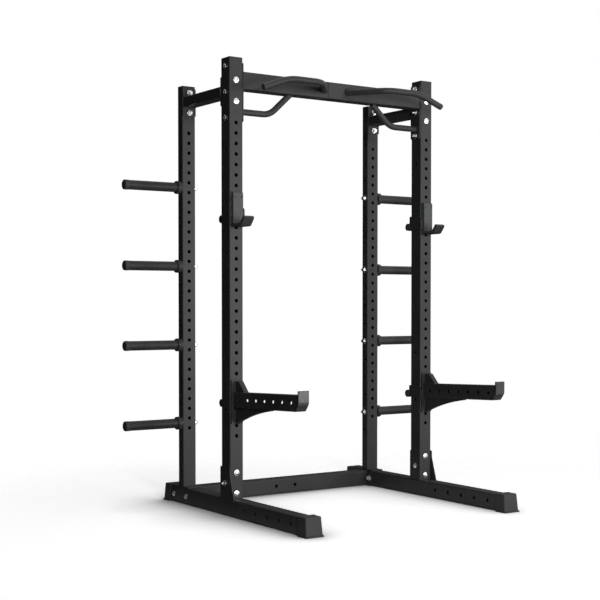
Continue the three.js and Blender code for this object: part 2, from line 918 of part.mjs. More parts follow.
function spotterArm(sign) {
  const x = sign * half_spacing;
  const front = -fit_gap - hanger_plate;
  const top = arm_peg_height + arm_above;
  const bottom = arm_peg_height - arm_below;
  const back_plate = box(
    [x - hanger_width / 2, x + hanger_width / 2],
    [front, -fit_gap],
    [bottom, top],
  );
  const tilt = THREE.MathUtils.degToRad(arm_tilt_deg);
  const tube_length = arm_reach + arm_depth;
  const geometry = toGeometry(alongY(tubeSection(arm_width, arm_depth), -tube_length, arm_depth));
  geometry.rotateX(-tilt);
  geometry.translate(x, 0, arm_height);
  const beyond = arm_reach + 2 * arm_depth;
  const half_cut = arm_width / 2 + overrun;
  const end_z = armLine(arm_reach);
  const bevel_z = end_z - arm_depth / 2 + stop_bevel_height;
  const behind = box([x - half_cut, x + half_cut], [front, beyond], [bottom - overrun, top + overrun]);
  const ahead = alongX(polygon([
    [-arm_reach, end_z + arm_depth],
    [-beyond, end_z + arm_depth],
    [-beyond, end_z - arm_depth],
    [-arm_reach + stop_bevel_depth * 2, bevel_z - stop_bevel_height * 2],
    [-arm_reach, bevel_z],
  ]), x - half_cut, x + half_cut);
  const tube = cutAway(toSolid(geometry), [behind, ahead]);
  const web_tip = armLine(web_reach) - arm_depth / 2;
  const curve = new THREE.QuadraticBezierCurve(
    new THREE.Vector2(-web_reach, web_tip - web_step),
    new THREE.Vector2(-web_bend_reach, bottom + web_bend_rise),
    new THREE.Vector2(front, bottom),
  );
  const below = [[front, armLine(0)], [-web_reach, armLine(web_reach)]];
  for (const point of curve.getPoints(arc_steps)) below.push([point.x, point.y]);
  const above = [
    [front, armLine(0)],
    [front, top - web_top_drop],
    [-web_top_flat, top - web_top_drop],
    [-web_top_foot, armLine(web_top_foot) + arm_depth / 2],
    [-web_top_foot, armLine(web_top_foot)],
  ];
  const half_web = web_width / 2;
  const webs = [below, above].map((outline) => alongX(polygon(outline), x - half_web, x + half_web));
  const bore = alongX(polygon([
    [front, armLine(0) + arm_depth / 2 - tube_wall],
    [front, armLine(0) - arm_depth / 2 + tube_wall],
    [-web_reach - overrun, armLine(web_reach) - arm_depth / 2 + tube_wall],
    [-web_reach - overrun, armLine(web_reach) + arm_depth / 2 - tube_wall],
  ]), x - arm_width / 2 + tube_wall, x + arm_width / 2 - tube_wall);
  const across = hanger_width + 2 * overrun;
  const holes = [];
  for (let i = 0; i < arm_hole_count; i += 1) {
    const reach = arm_hole_first + i * arm_hole_pitch;
    holes.push(rod('x', [x, -reach, armLine(reach)], arm_hole_radius, across, hole_sides));
  }
  const welded = cutAway(join(webs), [bore]);
  const arm = cutAway(join([back_plate, tube, welded]), holes);
  return join([arm, ...hangerFittings(sign, arm_peg_height, arm_roller_drop)]);
}

function spotterArmEnd(sign) {
  const x = sign * half_spacing;
  const end_z = armLine(arm_reach);
  const bottom = end_z - arm_depth / 2;
  const bevel_z = bottom + stop_bevel_height;
  const top = end_z + arm_depth / 2 + stop_rise;
  const near = -arm_reach - fit_gap;
  const far = near - stop_thickness;
  const low_near = near + stop_bevel_depth;
  return alongX(polygon([
    [near, top],
    [far, top],
    [far, bevel_z],
    [low_near - stop_thickness, bottom],
    [low_near, bottom],
    [near, bevel_z],
  ]), x - stop_width / 2, x + stop_width / 2);
}

// Putting it all together

for (const sign of side_signs) {
  const name = side_names[sign];
  addPiece(`upright_front_${name}`, frontUpright(sign), powder_black);
  addPiece(`upright_rear_${name}`, rearUpright(sign), powder_black);
  const front_cap = uprightCap(sign, front_centre_y, tube_depth, front_height);
  const rear_cap = uprightCap(sign, rear_centre_y, slim_depth, rear_height);
  addPiece(`upright_cap_front_${name}`, front_cap, plastic_black);
  addPiece(`upright_cap_rear_${name}`, rear_cap, plastic_black);
  addPiece(`base_rail_${name}`, baseRail(sign), powder_black);
  addPiece(`foot_front_${name}`, foot(sign, -1), rubber_black);
  addPiece(`foot_rear_${name}`, foot(sign, 1), rubber_black);
  baseBolts(sign);
  addPiece(`side_crossmember_${name}`, sideCrossmember(sign), powder_black);
  addPiece(`lower_grip_${name}`, lowerGrip(sign), powder_black);
  addPiece(`upper_grip_${name}`, upperGrip(sign), powder_black);
  addPiece(`upper_grip_cap_${name}`, upperGripCap(sign), plastic_black);
  for (let i = 0; i < peg_count; i += 1) {
    const height = peg_lowest_height + (peg_count - 1 - i) * peg_pitch;
    addPiece(`storage_peg_${name}_${i + 1}`, storagePeg(sign, height), powder_black);
    addPiece(`storage_peg_cap_${name}_${i + 1}`, storagePegCap(sign, height), plastic_black);
  }
  addPiece(`jcup_${name}`, jcup(sign), powder_black);
  addPiece(`jcup_liner_${name}`, jcupLiner(sign), liner_grey);
  addPiece(`jcup_roller_${name}`, roller(sign, jcup_peg_height, jcup_roller_drop), plastic_black);
  addPiece(`spotter_arm_${name}`, spotterArm(sign), powder_black);
  addPiece(`spotter_arm_end_${name}`, spotterArmEnd(sign), liner_grey);
  addPiece(`spotter_arm_roller_${name}`, roller(sign, arm_peg_height, arm_roller_drop), plastic_black);
}
addPiece('rear_crossmember', rearCrossmember(), powder_black);
addPiece('pull_up_beam', pullUpBeam(), powder_black);
addPiece('badge_plate', badgePlate(), powder_black);

export default group;
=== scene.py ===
"""Half rack for strength training: the visible pieces, their finishes and the stage."""

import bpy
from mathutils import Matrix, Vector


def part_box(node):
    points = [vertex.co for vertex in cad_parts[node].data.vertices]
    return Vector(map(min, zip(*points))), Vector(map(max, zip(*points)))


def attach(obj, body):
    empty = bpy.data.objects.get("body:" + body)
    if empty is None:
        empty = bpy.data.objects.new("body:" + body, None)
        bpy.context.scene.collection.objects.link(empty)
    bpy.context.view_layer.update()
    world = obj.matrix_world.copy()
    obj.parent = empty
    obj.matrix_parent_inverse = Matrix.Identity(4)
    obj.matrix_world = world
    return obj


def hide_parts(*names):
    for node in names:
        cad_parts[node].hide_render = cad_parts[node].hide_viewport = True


bl_info = {
    "name": "Half Rack",
    "version": (1, 0, 0),
    "blender": (4, 5, 0),
    "location": "3D View > Sidebar > Half Rack",
    "description": "Builds the visible pieces, finishes and stage of a half rack",
    "category": "Object",
}

import math

import bmesh
import bpy
from bpy.props import FloatProperty, FloatVectorProperty, IntProperty, PointerProperty
from mathutils import Matrix, Vector
from mathutils.geometry import interpolate_bezier

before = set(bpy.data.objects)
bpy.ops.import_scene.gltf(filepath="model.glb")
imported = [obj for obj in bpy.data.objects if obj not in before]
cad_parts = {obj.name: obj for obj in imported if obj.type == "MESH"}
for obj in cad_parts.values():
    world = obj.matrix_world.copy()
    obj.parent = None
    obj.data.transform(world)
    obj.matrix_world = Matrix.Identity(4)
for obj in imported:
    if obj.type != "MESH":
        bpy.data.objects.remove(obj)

SIDES = {"left": -1.0, "right": 1.0}

# Places and sizes that pieces share, in metres
GAP = 0.0003
SPACING = 0.5875
INNER_FACE = 0.55
OUTER_FACE = 0.625
TUBE_WIDTH = 0.075
TUBE_DEPTH = 0.080
SLIM_DEPTH = 0.050
FLANGE = 0.006
FRONT_Y = 0.040
REAR_Y = 0.49
FRONT_SIDE_HOLES = [0.513 + 0.25 * index for index in range(6)]
REAR_SIDE_HOLES = [0.313 + 0.1 * index for index in range(17)]
FOOT_PLATE = 0.005
RAIL_LOW = 0.004
RAIL_HIGH = 0.084
RAIL_Z = (RAIL_LOW + RAIL_HIGH) / 2
RAIL_HOLE_Z = RAIL_Z + 0.001
RAIL_LENGTH = 1.29
RAIL_HOLES = [-0.125 - 0.1 * index for index in range(5)]
BRACKET_Y = 0.0803
BRACKET_PLATE = 0.004
BRACKET_TOP = 0.238
CROSS_Y = 0.5
CROSS_HOLES = (-0.06, 0.06)
SIDE_Z = 2.043
BEAM_Z = 2.093
BEAM_DEPTH = 0.084
BAR_RADIUS = 0.0155
LOWER_BAR_Z = 1.947
GRIP_Y = -0.172
GRIP_Z = 2.091
PEG_HEIGHTS = [0.413 + 0.4 * index for index in range(4)]
PLATE_Y = -GAP - 0.008
HALF_PLATE = 0.032
SIDE_PLATE = 0.005
ROLLER_Y = 0.101
JCUP_PEG = 1.538
JCUP_LOW = JCUP_PEG - 0.148
JCUP_HIGH = JCUP_PEG + 0.020
JCUP_ROLLER = JCUP_PEG - 0.106
HALF_HOOK = 0.0275
HOOK_PLATE = 0.006
HOOK_SLOPE = math.radians(51)
HOOK_SHELF = -0.0883
HOOK_REACH = 0.051
ARM_PEG = 0.638
ARM_LOW = ARM_PEG - 0.192
ARM_HIGH = ARM_PEG + 0.020
ARM_ROLLER = ARM_PEG - 0.097
ARM_Z = 0.561
ARM_TILT = math.radians(2.1)
ARM_REACH = 0.566
ARM_WIDTH = 0.050
HALF_ARM = 0.0375
HALF_WEB = 0.013
ARM_HOLES = [0.063 + 0.075 * index for index in range(7)]

# Turns that lay a form that stands on the origin along another axis
ALONG_X = Matrix.Rotation(math.radians(90), 4, 'Y')
ALONG_Y = Matrix.Rotation(math.radians(-90), 4, 'X')
TO_FRONT = Matrix.Rotation(math.radians(90), 4, 'X')

# Turned profiles: radius and height along the axis, in metres
COLLARED_SLEEVE = [(0, 0.001), (0.033, 0.0), (0.033, 0.0238), (0.0318, 0.025), (0.024, 0.025),
                   (0.024, 0.2932), (0.0234, 0.294), (0.021, 0.294), (0.021, 0.030), (0, 0.030)]
SLEEVE_STUD = [(0, -0.095), (0.0072, -0.095), (0.008, -0.094), (0.008, 0.002), (0, 0.002)]
SLEEVE_CAP = [(0, 0.276), (0.0203, 0.276), (0.0203, 0.2943), (0.025, 0.2943), (0.025, 0.3122),
              (0.0238, 0.3154), (0.0215, 0.3169), (0, 0.3172)]
BAR_CAP = [(0, -0.012), (0.0125, -0.012), (0.0125, 0.0003), (BAR_RADIUS, 0.0003),
           (BAR_RADIUS, 0.0038), (BAR_RADIUS - 0.0015, 0.0056), (0, 0.0062)]
LOCATING_PIN = [(0, -0.004), (0.0076, -0.004), (0.0076, 0.0195), (0.0060, 0.022), (0, 0.022)]
ROLLER = [(0, -0.0025), (0.0150, -0.0025), (0.0180, -0.0020), (0.0190, -0.0012), (0.0190, -0.0002),
          (0.0188, 0), (0.007, 0), (0.007, 0.0056), (0.0183, 0.0056), (0.0195, 0.0068), (0.0195, 0.0668),
          (0.0182, 0.0702), (0.0150, 0.0716), (0.0085, 0.0716), (0.0080, 0.0702), (0, 0.0702)]
LINER_SCREW = [(0, -0.004), (0.0056, -0.004), (0.0056, 0.0006), (0.0044, 0.0015), (0.0026, 0.0017),
               (0.0023, 0.0003), (0, 0.0003)]

# Place, target, width and height of each light
LIGHTS = {
    "left": ((-1.95, -5.1, 2.05), (0.0, 0.0, 1.2), 0.5, 0.5),
    "front": ((0.8, -5.4, 1.2), (0.0, 0.0, 1.1), 1.2, 1.2),
    "right": ((2.4, -5.0, 1.05), (0.0, 0.0, 1.0), 1.2, 2.2),
    "high": ((4.6, -5.0, 2.9), (0.3, 0.0, 1.9), 1.0, 1.0),
    "back": ((3.0, 4.8, 1.3), (0.0, 0.0, 1.1), 2.0, 2.0),
    "top": ((0.0, -0.6, 5.2), (0.0, 0.2, 0.0), 4.0, 4.0),
}
CAMERA_PLACE = (-3.6815, -5.1282, 1.0293)


# Sizes and colours

class RackSizes(bpy.types.PropertyGroup):
    """Sizes shared by the tubes, plates and fasteners"""
    tube_wall: FloatProperty(name="Tube Wall", description="Thickness of the steel tubes",
                             default=0.003, unit='LENGTH')
    tube_corner: FloatProperty(name="Tube Corner", description="Outer corner radius of the tubes",
                               default=0.006, unit='LENGTH')
    hole_radius: FloatProperty(name="Hole Radius", description="Radius of the adjustment holes",
                               default=0.009, unit='LENGTH')
    hole_pitch: FloatProperty(name="Hole Spacing", description="Distance between adjustment holes",
                              default=0.05, unit='LENGTH')
    lowest_hole: FloatProperty(name="Lowest Hole", description="Height of the lowest adjustment hole",
                               default=0.388, unit='LENGTH')
    hole_count: IntProperty(name="Holes", description="Adjustment holes in each upright", default=31)
    edge: FloatProperty(name="Plate Edge", description="Rounding of the edges of the plates",
                        default=0.0009, unit='LENGTH')
    bead: FloatProperty(name="Weld Bead", description="Radius of the weld beads",
                        default=0.0026, unit='LENGTH')
    washer_radius: FloatProperty(name="Washer Radius", description="Radius of the bolts' washers",
                                 default=0.0145, unit='LENGTH')
    head_across: FloatProperty(name="Bolt Head", description="Bolt heads and nuts across the flats",
                               default=0.021, unit='LENGTH')


class RackColours(bpy.types.PropertyGroup):
    """Colours and gloss of the finishes"""
    coat: FloatVectorProperty(name="Powder Coat", description="Colour of the coated steel",
                              default=(0.034, 0.0342, 0.0350), subtype='COLOR')
    coat_roughness: FloatProperty(name="Coat Roughness", description="Roughness of the coated steel",
                                  default=0.44, min=0.0, max=1.0, subtype='FACTOR')
    plastic: FloatVectorProperty(name="Black Plastic", description="Colour of caps and rollers",
                                 default=(0.010, 0.010, 0.0105), subtype='COLOR')
    liner: FloatVectorProperty(name="Liner", description="Colour of the wear plastic",
                               default=(0.011, 0.011, 0.0112), subtype='COLOR')
    stop: FloatVectorProperty(name="End Stop", description="Colour of the spotter arms' end stops",
                              default=(0.039, 0.0393, 0.040), subtype='COLOR')
    rubber: FloatVectorProperty(name="Rubber", description="Colour of the rubber feet",
                                default=(0.012, 0.012, 0.0125), subtype='COLOR')
    zinc: FloatVectorProperty(name="Zinc", description="Colour of the bolts, nuts and washers",
                              default=(0.78, 0.79, 0.80), subtype='COLOR')


class RackStage(bpy.types.PropertyGroup):
    """Camera and light"""
    lens: FloatProperty(name="Lens", description="Focal length in millimetres", default=74.86)
    bearing: FloatProperty(name="Bearing", description="Direction of view, clockwise from straight ahead",
                           default=math.radians(34.02), subtype='ANGLE')
    tilt: FloatProperty(name="Tilt", description="Direction of view above the horizon",
                        default=math.radians(-1.59), subtype='ANGLE')
    rise: FloatProperty(name="Rise", description="Upward shift of the view", default=0.0618)
    left_power: FloatProperty(name="Left Light", description="Power of the small light high at the left",
                              default=124.0, unit='POWER')
    front_power: FloatProperty(name="Front Light", description="Power of the light in front",
                               default=68.0, unit='POWER')
    right_power: FloatProperty(name="Right Light", description="Power of the tall light at the right",
                               default=76.0, unit='POWER')
    high_power: FloatProperty(name="High Light", description="Power of the light high at the far right",
                              default=40.0, unit='POWER')
    top_power: FloatProperty(name="Top Light", description="Power of the light overhead",
                             default=16.0, unit='POWER')
    back_power: FloatProperty(name="Back Light", description="Power of the light behind the rack",
                              default=60.0, unit='POWER')
    ambient: FloatProperty(name="Ambient", description="Level of the light from all round", default=0.018)
    glow: FloatProperty(name="Floor Glow", description="Brightness that the floor shows of its own",
                        default=0.71)


# Shapes

NEAR = 0.000001
SHARP_EDGE = math.radians(30)
SHARP_SHADING = math.radians(34)
ARC_STEPS = 10
RIPPLE = 0.0035


def closed(bm):
    """Welds a form's doubled vertices and turns its faces outwards."""
    bmesh.ops.remove_doubles(bm, verts=bm.verts, dist=NEAR)
    bmesh.ops.recalc_face_normals(bm, faces=bm.faces)
    return bm


def rounded(bm, items, width, segments, affect='EDGES'):
    """Rounds edges, or the corners of an outline where affect is VERTICES."""
    bmesh.ops.bevel(bm, geom=items, offset=width, offset_type='OFFSET', segments=segments, profile=0.5,
                    affect=affect, clamp_overlap=affect == 'EDGES', material=-1)


def soften(bm, width, segments=2):
    """Rounds the form's sharp edges."""
    if width > 0:
        rounded(bm, [edge for edge in bm.edges if edge.calc_face_angle(0.0) > SHARP_EDGE], width, segments)
    return closed(bm)


def grow(bm, faces, offset):
    """Draws faces out by an offset."""
    grown = bmesh.ops.extrude_face_region(bm, geom=faces)
    moved = [item for item in grown["geom"] if isinstance(item, bmesh.types.BMVert)]
    bmesh.ops.translate(bm, verts=moved, vec=offset)


def place(bm, matrix):
    """Sets a form in its place."""
    bmesh.ops.transform(bm, matrix=matrix, verts=bm.verts)
    return bm


def shifted(x=0.0, y=0.0, z=0.0):
    """A move without a turn."""
    return Matrix.Translation((x, y, z))


def aimed(origin, direction):
    """A frame at origin whose local Z axis points along direction."""
    turn = Vector(direction).normalized().to_track_quat('Z', 'Y')
    return Matrix.Translation(origin) @ turn.to_matrix().to_4x4()


def corners_of(node):
    """The lowest and highest corners of a node of the frame."""
    return [Vector(corner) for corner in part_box(node)]


def prism(outline, along, start, end, rounding=0.0, soft=0.0009, segments=2, nip=0.0, nip_from=None):
    """A plate: an outline drawn across one axis and drawn out along it.

    Rounding is one radius for all the outline's corners, or one for each. A nip rounds the plate's
    own corners along its edge, where the outline lies beyond nip_from on its first axis.
    """
    bm = bmesh.new()
    axis = "xyz".index(along)
    verts = [bm.verts.new((*spot[:axis], start, *spot[axis:])) for spot in outline]
    bm.faces.new(verts)
    radii = rounding if isinstance(rounding, (list, tuple)) else [rounding] * len(verts)
    for vert, radius in zip(verts, radii):
        if radius > 0:
            rounded(bm, [vert], radius, 5, 'VERTICES')
    offset = Vector((0, 0, 0))
    offset[axis] = end - start
    grow(bm, bm.faces[:], offset)
    closed(bm)
    if nip > 0:
        first = 1 if axis == 0 else 0
        ends = [edge for edge in bm.edges
                if all(vert.co[first] < nip_from for vert in edge.verts)
                and abs(edge.verts[0].co[axis] - edge.verts[1].co[axis]) < NEAR]
        rounded(bm, ends, nip, 4)
        closed(bm)
    return soften(bm, soft, segments)


def slab(low, high, along="z", rounding=0.0, soft=0.0009, segments=2):
    """A rectangular plate between two corners."""
    a, b, c = {"x": (1, 2, 0), "y": (0, 2, 1), "z": (0, 1, 2)}[along]
    outline = [(low[a], low[b]), (high[a], low[b]), (high[a], high[b]), (low[a], high[b])]
    return prism(outline, along, low[c], high[c], rounding, soft, segments)


def tube(width, depth, length, sizes, corner=None):
    """A hollow tube with rounded corners, standing on the origin."""
    bm = bmesh.new()
    x, y = width / 2, depth / 2
    verts = [bm.verts.new(spot) for spot in ((-x, -y, 0), (x, -y, 0), (x, y, 0), (-x, y, 0))]
    bm.faces.new(verts)
    rounded(bm, verts, corner or sizes.tube_corner, 8, 'VERTICES')
    rim = bmesh.ops.inset_region(bm, faces=bm.faces[:], thickness=sizes.tube_wall, use_boundary=True,
                                 use_even_offset=True)["faces"]
    middle = [face for face in bm.faces if face not in rim]
    bmesh.ops.delete(bm, geom=middle, context='FACES')
    grow(bm, bm.faces[:], (0, 0, length))
    return closed(bm)


def turned(profile, matrix, steps=32):
    """A turned form: (radius, height) points spun round the local Z axis and set in place."""
    bm = bmesh.new()
    points = [bm.verts.new((radius, 0.0, height)) for radius, height in profile]
    edges = [bm.edges.new(pair) for pair in zip(points, points[1:])]
    bmesh.ops.spin(bm, geom=points + edges, axis=(0, 0, 1), cent=(0, 0, 0), angle=math.tau,
                   steps=steps, use_merge=True, use_normal_flip=False, use_duplicate=False)
    closed(bm)
    return closed(place(bm, matrix))


def path_frames(path, thickness=None):
    """Frames along a line of points that turn with it and never twist."""
    frames = []
    heading = (path[1] - path[0]).normalized()
    turn = heading.to_track_quat('Z', 'Y')
    for index, point in enumerate(path):
        ahead = path[min(index + 1, len(path) - 1)]
        behind = path[max(index - 1, 0)]
        now = (ahead - behind).normalized()
        turn = heading.rotation_difference(now) @ turn
        heading = now
        scale = 1.0 if thickness is None else thickness[index]
        frames.append(Matrix.Translation(point) @ turn.to_matrix().to_4x4() @ Matrix.Scale(scale, 4))
    return frames


def swept(path, radius, sides=24, thickness=None):
    """A round bar drawn along a line of points."""
    bm = bmesh.new()
    frames = path_frames(path, thickness)
    bmesh.ops.create_circle(bm, cap_ends=True, segments=sides, radius=radius, matrix=frames[0])
    end = bm.faces[:]
    for before, after in zip(frames, frames[1:]):
        grown = bmesh.ops.extrude_face_region(bm, geom=end)
        verts = [item for item in grown["geom"] if isinstance(item, bmesh.types.BMVert)]
        bmesh.ops.transform(bm, matrix=after @ before.inverted(), verts=verts)
        end = [item for item in grown["geom"] if isinstance(item, bmesh.types.BMFace)]
    return closed(bm)


def bent(corners, bend):
    """Points along a line whose corners are rounded into arcs, bend metres back from each."""
    corners = [Vector(corner) for corner in corners]
    path = [corners[0]]
    for before, corner, after in zip(corners, corners[1:], corners[2:]):
        inward = (before - corner).normalized()
        outward = (after - corner).normalized()
        turning = math.pi - inward.angle(outward)
        reach = 4.0 / 3.0 * math.tan(turning / 4.0) / math.tan(turning / 2.0)
        start = corner + inward * bend
        end = corner + outward * bend
        path.extend(interpolate_bezier(start, start.lerp(corner, reach), end.lerp(corner, reach), end,
                                       ARC_STEPS))
    path.append(corners[-1])
    return path


def along_line(corners, spacing):
    """Evenly spaced points along a line of straight stretches."""
    corners = [Vector(corner) for corner in corners]
    path = []
    for start, end in zip(corners, corners[1:]):
        count = max(2, round((end - start).length / spacing))
        path.extend(start.lerp(end, step / count) for step in range(count))
    path.append(corners[-1])
    return path


def bead(corners, radius):
    """A weld bead with its ripples."""
    path = along_line(corners, RIPPLE)
    ripples = [1.0 + 0.10 * math.sin(2.4 * index) + 0.06 * math.sin(0.9 * index)
               for index in range(len(path))]
    return swept(path, radius, sides=8, thickness=ripples)


def bead_round(origin, direction, ring, radius):
    """A weld bead round a bar."""
    matrix = aimed(origin, direction)
    count = 24
    turns = [math.tau * step / count for step in range(count + 1)]
    spots = [(ring * math.cos(turn), ring * math.sin(turn), 0) for turn in turns]
    return bead([matrix @ Vector(spot) for spot in spots], radius)


def bead_box(matrix, width, depth, radius):
    """A weld bead round the outside of a tube."""
    x, y = width / 2, depth / 2
    cut = 0.005
    spots = [(-x + cut, -y), (x - cut, -y), (x, -y + cut), (x, y - cut), (x - cut, y), (-x + cut, y),
             (-x, y - cut), (-x, -y + cut), (-x + cut, -y)]
    return bead([matrix @ Vector((a, b, 0)) for a, b in spots], radius)


def pierced(bm, cutters):
    """Cuts other forms out of a form."""
    objects = []
    whole = bmesh.new()
    for cutter in cutters:
        merge(whole, cutter)
    for name, form in (("blank", bm), ("cutters", whole)):
        mesh = bpy.data.meshes.new(name)
        form.to_mesh(mesh)
        form.free()
        objects.append(bpy.data.objects.new(name, mesh))
        bpy.context.scene.collection.objects.link(objects[-1])
    blank, cutter = objects
    cut = blank.modifiers.new("Cut", 'BOOLEAN')
    cut.operation = 'DIFFERENCE'
    cut.solver = 'EXACT'
    cut.object = cutter
    shown = blank.evaluated_get(bpy.context.evaluated_depsgraph_get())
    result = bmesh.new()
    result.from_mesh(shown.to_mesh())
    shown.to_mesh_clear()
    for item in objects:
        mesh = item.data
        bpy.data.objects.remove(item)
        bpy.data.meshes.remove(mesh)
    return closed(result)


def drill(matrix, radius, depth):
    """A cutter for a through hole with broken edges, centred on the frame's origin."""
    chamfer, clear = 0.0006, 0.001
    end = depth / 2 + clear
    flare = radius + chamfer + clear
    inside = depth / 2 - chamfer
    profile = [(0, -end), (flare, -end), (radius, -inside), (radius, inside), (flare, end), (0, end)]
    return turned(profile, matrix, steps=28)


def merge(whole, part):
    """Adds one form to another."""
    mesh = bpy.data.meshes.new("part")
    part.to_mesh(mesh)
    part.free()
    whole.from_mesh(mesh)
    bpy.data.meshes.remove(mesh)


def copied(bm, matrix):
    """A copy of a form, set in place."""
    twin = bm.copy()
    place(twin, matrix)
    if matrix.determinant() < 0:
        bmesh.ops.reverse_faces(twin, faces=twin.faces)
    return twin


def make_piece(name, forms, finish, node=None, body="frame"):
    """Joins forms into one piece of the rack: its finish, the node it stands for and its body."""
    whole = bmesh.new()
    for form in forms:
        merge(whole, form)
    mesh = bpy.data.meshes.new(name)
    whole.to_mesh(mesh)
    whole.free()
    mesh.polygons.foreach_set("use_smooth", [True] * len(mesh.polygons))
    mesh.set_sharp_from_angle(angle=SHARP_SHADING)
    mesh.materials.append(bpy.data.materials[finish])
    piece = bpy.data.objects.new(name, mesh)
    bpy.context.scene.collection.objects.link(piece)
    weighted = piece.modifiers.new("Even Normals", 'WEIGHTED_NORMAL')
    weighted.keep_sharp = True
    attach(piece, body)
    if node:
        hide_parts(node)


# Fasteners

def washer(matrix, radius):
    """A plain washer with a broken edge."""
    return turned([(0, 0), (radius, 0), (radius, 0.0022), (radius - 0.0008, 0.003), (0, 0.003)], matrix)


def hexagon(matrix, across, low, high):
    """A hexagonal head or nut with a rounded crown."""
    bm = bmesh.new()
    radius = across / math.sqrt(3)
    bmesh.ops.create_cone(bm, cap_ends=True, cap_tris=False, segments=6, radius1=radius,
                          radius2=radius, depth=high - low, matrix=shifted(z=(low + high) / 2))
    soften(bm, 0.0009, 2)
    return closed(place(bm, matrix))


def dome_head(origin, direction, sizes):
    """A low domed bolt head with a round socket in it."""
    matrix = aimed(origin, direction)
    rim = sizes.washer_radius
    return turned([(0, 0), (rim, 0), (rim, 0.0024), (rim - 0.0012, 0.0030), (0.0112, 0.0030),
                   (0.0110, 0.0046), (0.0096, 0.0060), (0.0070, 0.0068), (0.0046, 0.0070),
                   (0.0046, 0.0035), (0, 0.0035)], matrix)


def bolt_nut(origin, direction, sizes):
    """A washer and a nut, with the end of the bolt standing out of it."""
    matrix = aimed(origin, direction)
    radius, pitch, reach = 0.0078, 0.002, 0.020
    thread = [(0, 0)]
    height = pitch
    while height < reach - pitch:
        thread.append((radius, height))
        thread.append((radius - 0.0009, height + pitch / 2))
        height += pitch
    thread.extend([(radius - 0.0012, reach), (0, reach)])
    nut = hexagon(matrix, sizes.head_across, 0.003, 0.0145)
    return [washer(matrix, sizes.washer_radius), nut, turned(thread, matrix)]


# Finishes

def add_node(tree, kind, links=None, settings=None, **inputs):
    """A shader node with what feeds it, its settings and the values of its inputs."""
    node = tree.nodes.new(kind)
    for key, value in (settings or {}).items():
        setattr(node, key, value)
    for key, value in inputs.items():
        node.inputs[key.replace("_", " ")].default_value = value
    for key, source in (links or {}).items():
        tree.links.new(source, node.inputs[key])
    return node


def calculated(tree, operation, first, second):
    """The result of a sum on two values of a material."""
    settings = {"operation": operation}
    return add_node(tree, "ShaderNodeMath", {0: first, 1: second}, settings).outputs[0]


def ramp(tree, source, low, high, at_low=0.0, at_high=1.0):
    """Maps a value from one range to another."""
    return add_node(tree, "ShaderNodeMapRange", {"Value": source}, None, From_Min=at_low,
                    From_Max=at_high, To_Min=low, To_Max=high).outputs["Result"]


def noise(tree, coordinates, scale, detail, roughness=0.5):
    """A cloudy pattern, at a scale per metre."""
    return add_node(tree, "ShaderNodeTexNoise", {"Vector": coordinates}, None, Scale=scale,
                    Detail=detail, Roughness=roughness).outputs["Fac"]


def mix(tree, factor, dark, light):
    """Blends between two colours by a factor."""
    node = add_node(tree, "ShaderNodeMix", {"Factor": factor}, {"data_type": 'RGBA'})
    for socket, colour in ((6, dark), (7, light)):
        node.inputs[socket].default_value = (*colour, 1.0)
    return node.outputs[2]


def shade(colour, factor):
    """A colour made darker or lighter."""
    return tuple(min(1.0, channel * factor) for channel in colour)


def start_finish(name, **values):
    """A new material: its nodes, its shader and its object coordinates."""
    material = bpy.data.materials.new(name)
    material.use_nodes = True
    material.diffuse_color = (0.05, 0.05, 0.05, 1.0)
    tree = material.node_tree
    shader = tree.nodes["Principled BSDF"]
    for key, value in values.items():
        shader.inputs[key.replace("_", " ")].default_value = value
    return tree, shader, tree.nodes.new("ShaderNodeTexCoord").outputs["Object"]


def end_finish(tree, shader, tone, gloss, height, strength, distance):
    """Gives a finish its colour, its roughness and its bumps."""
    bump = add_node(tree, "ShaderNodeBump", {"Height": height}, None, Strength=strength, Distance=distance)
    tree.links.new(tone, shader.inputs["Base Color"])
    tree.links.new(gloss, shader.inputs["Roughness"])
    tree.links.new(bump.outputs["Normal"], shader.inputs["Normal"])


def powder_coat(colours):
    """Satin black powder coat: a fine orange-peel skin, faintly uneven in gloss and tone."""
    tree, shader, spot = start_finish("powder_coat", Metallic=0.0, Specular_IOR_Level=0.2)
    broad = noise(tree, spot, 7.0, 4.0)
    fine = noise(tree, spot, 620.0, 3.0, 0.55)
    specks = noise(tree, spot, 2600.0, 1.0)
    uneven = ramp(tree, broad, 0.0, 1.0, 0.3, 0.7)
    tone = mix(tree, uneven, shade(colours.coat, 0.86), shade(colours.coat, 1.16))
    middle, spread = colours.coat_roughness, 0.035
    gloss = ramp(tree, broad, middle - spread, middle + spread, 0.3, 0.7)
    peel = calculated(tree, 'ADD', fine, ramp(tree, specks, 0.0, 0.35))
    end_finish(tree, shader, tone, gloss, peel, 0.32, 0.00012)


def black_plastic(colours):
    """Moulded black plastic with a fine matte grain."""
    tree, shader, spot = start_finish("black_plastic")
    grain = noise(tree, spot, 1500.0, 2.0)
    broad = noise(tree, spot, 22.0, 3.0)
    tone = mix(tree, broad, shade(colours.plastic, 0.8), shade(colours.plastic, 1.25))
    end_finish(tree, shader, tone, ramp(tree, grain, 0.42, 0.58, 0.3, 0.7), grain, 0.25, 0.00008)


def wear_plastic(colours):
    """Dense grey-black wear plastic, faintly scuffed by bars."""
    tree, shader, spot = start_finish("wear_plastic", Specular_IOR_Level=0.22)
    grain = noise(tree, spot, 900.0, 3.0)
    stretched = add_node(tree, "ShaderNodeMapping", {"Vector": spot}, None, Scale=(12.0, 420.0, 160.0))
    scuffs = noise(tree, stretched.outputs["Vector"], 1.0, 3.0)
    tone = mix(tree, ramp(tree, scuffs, 0.0, 1.0, 0.55, 0.8), colours.liner, shade(colours.liner, 1.5))
    end_finish(tree, shader, tone, ramp(tree, scuffs, 0.22, 0.28, 0.4, 0.7), grain, 0.06, 0.0001)


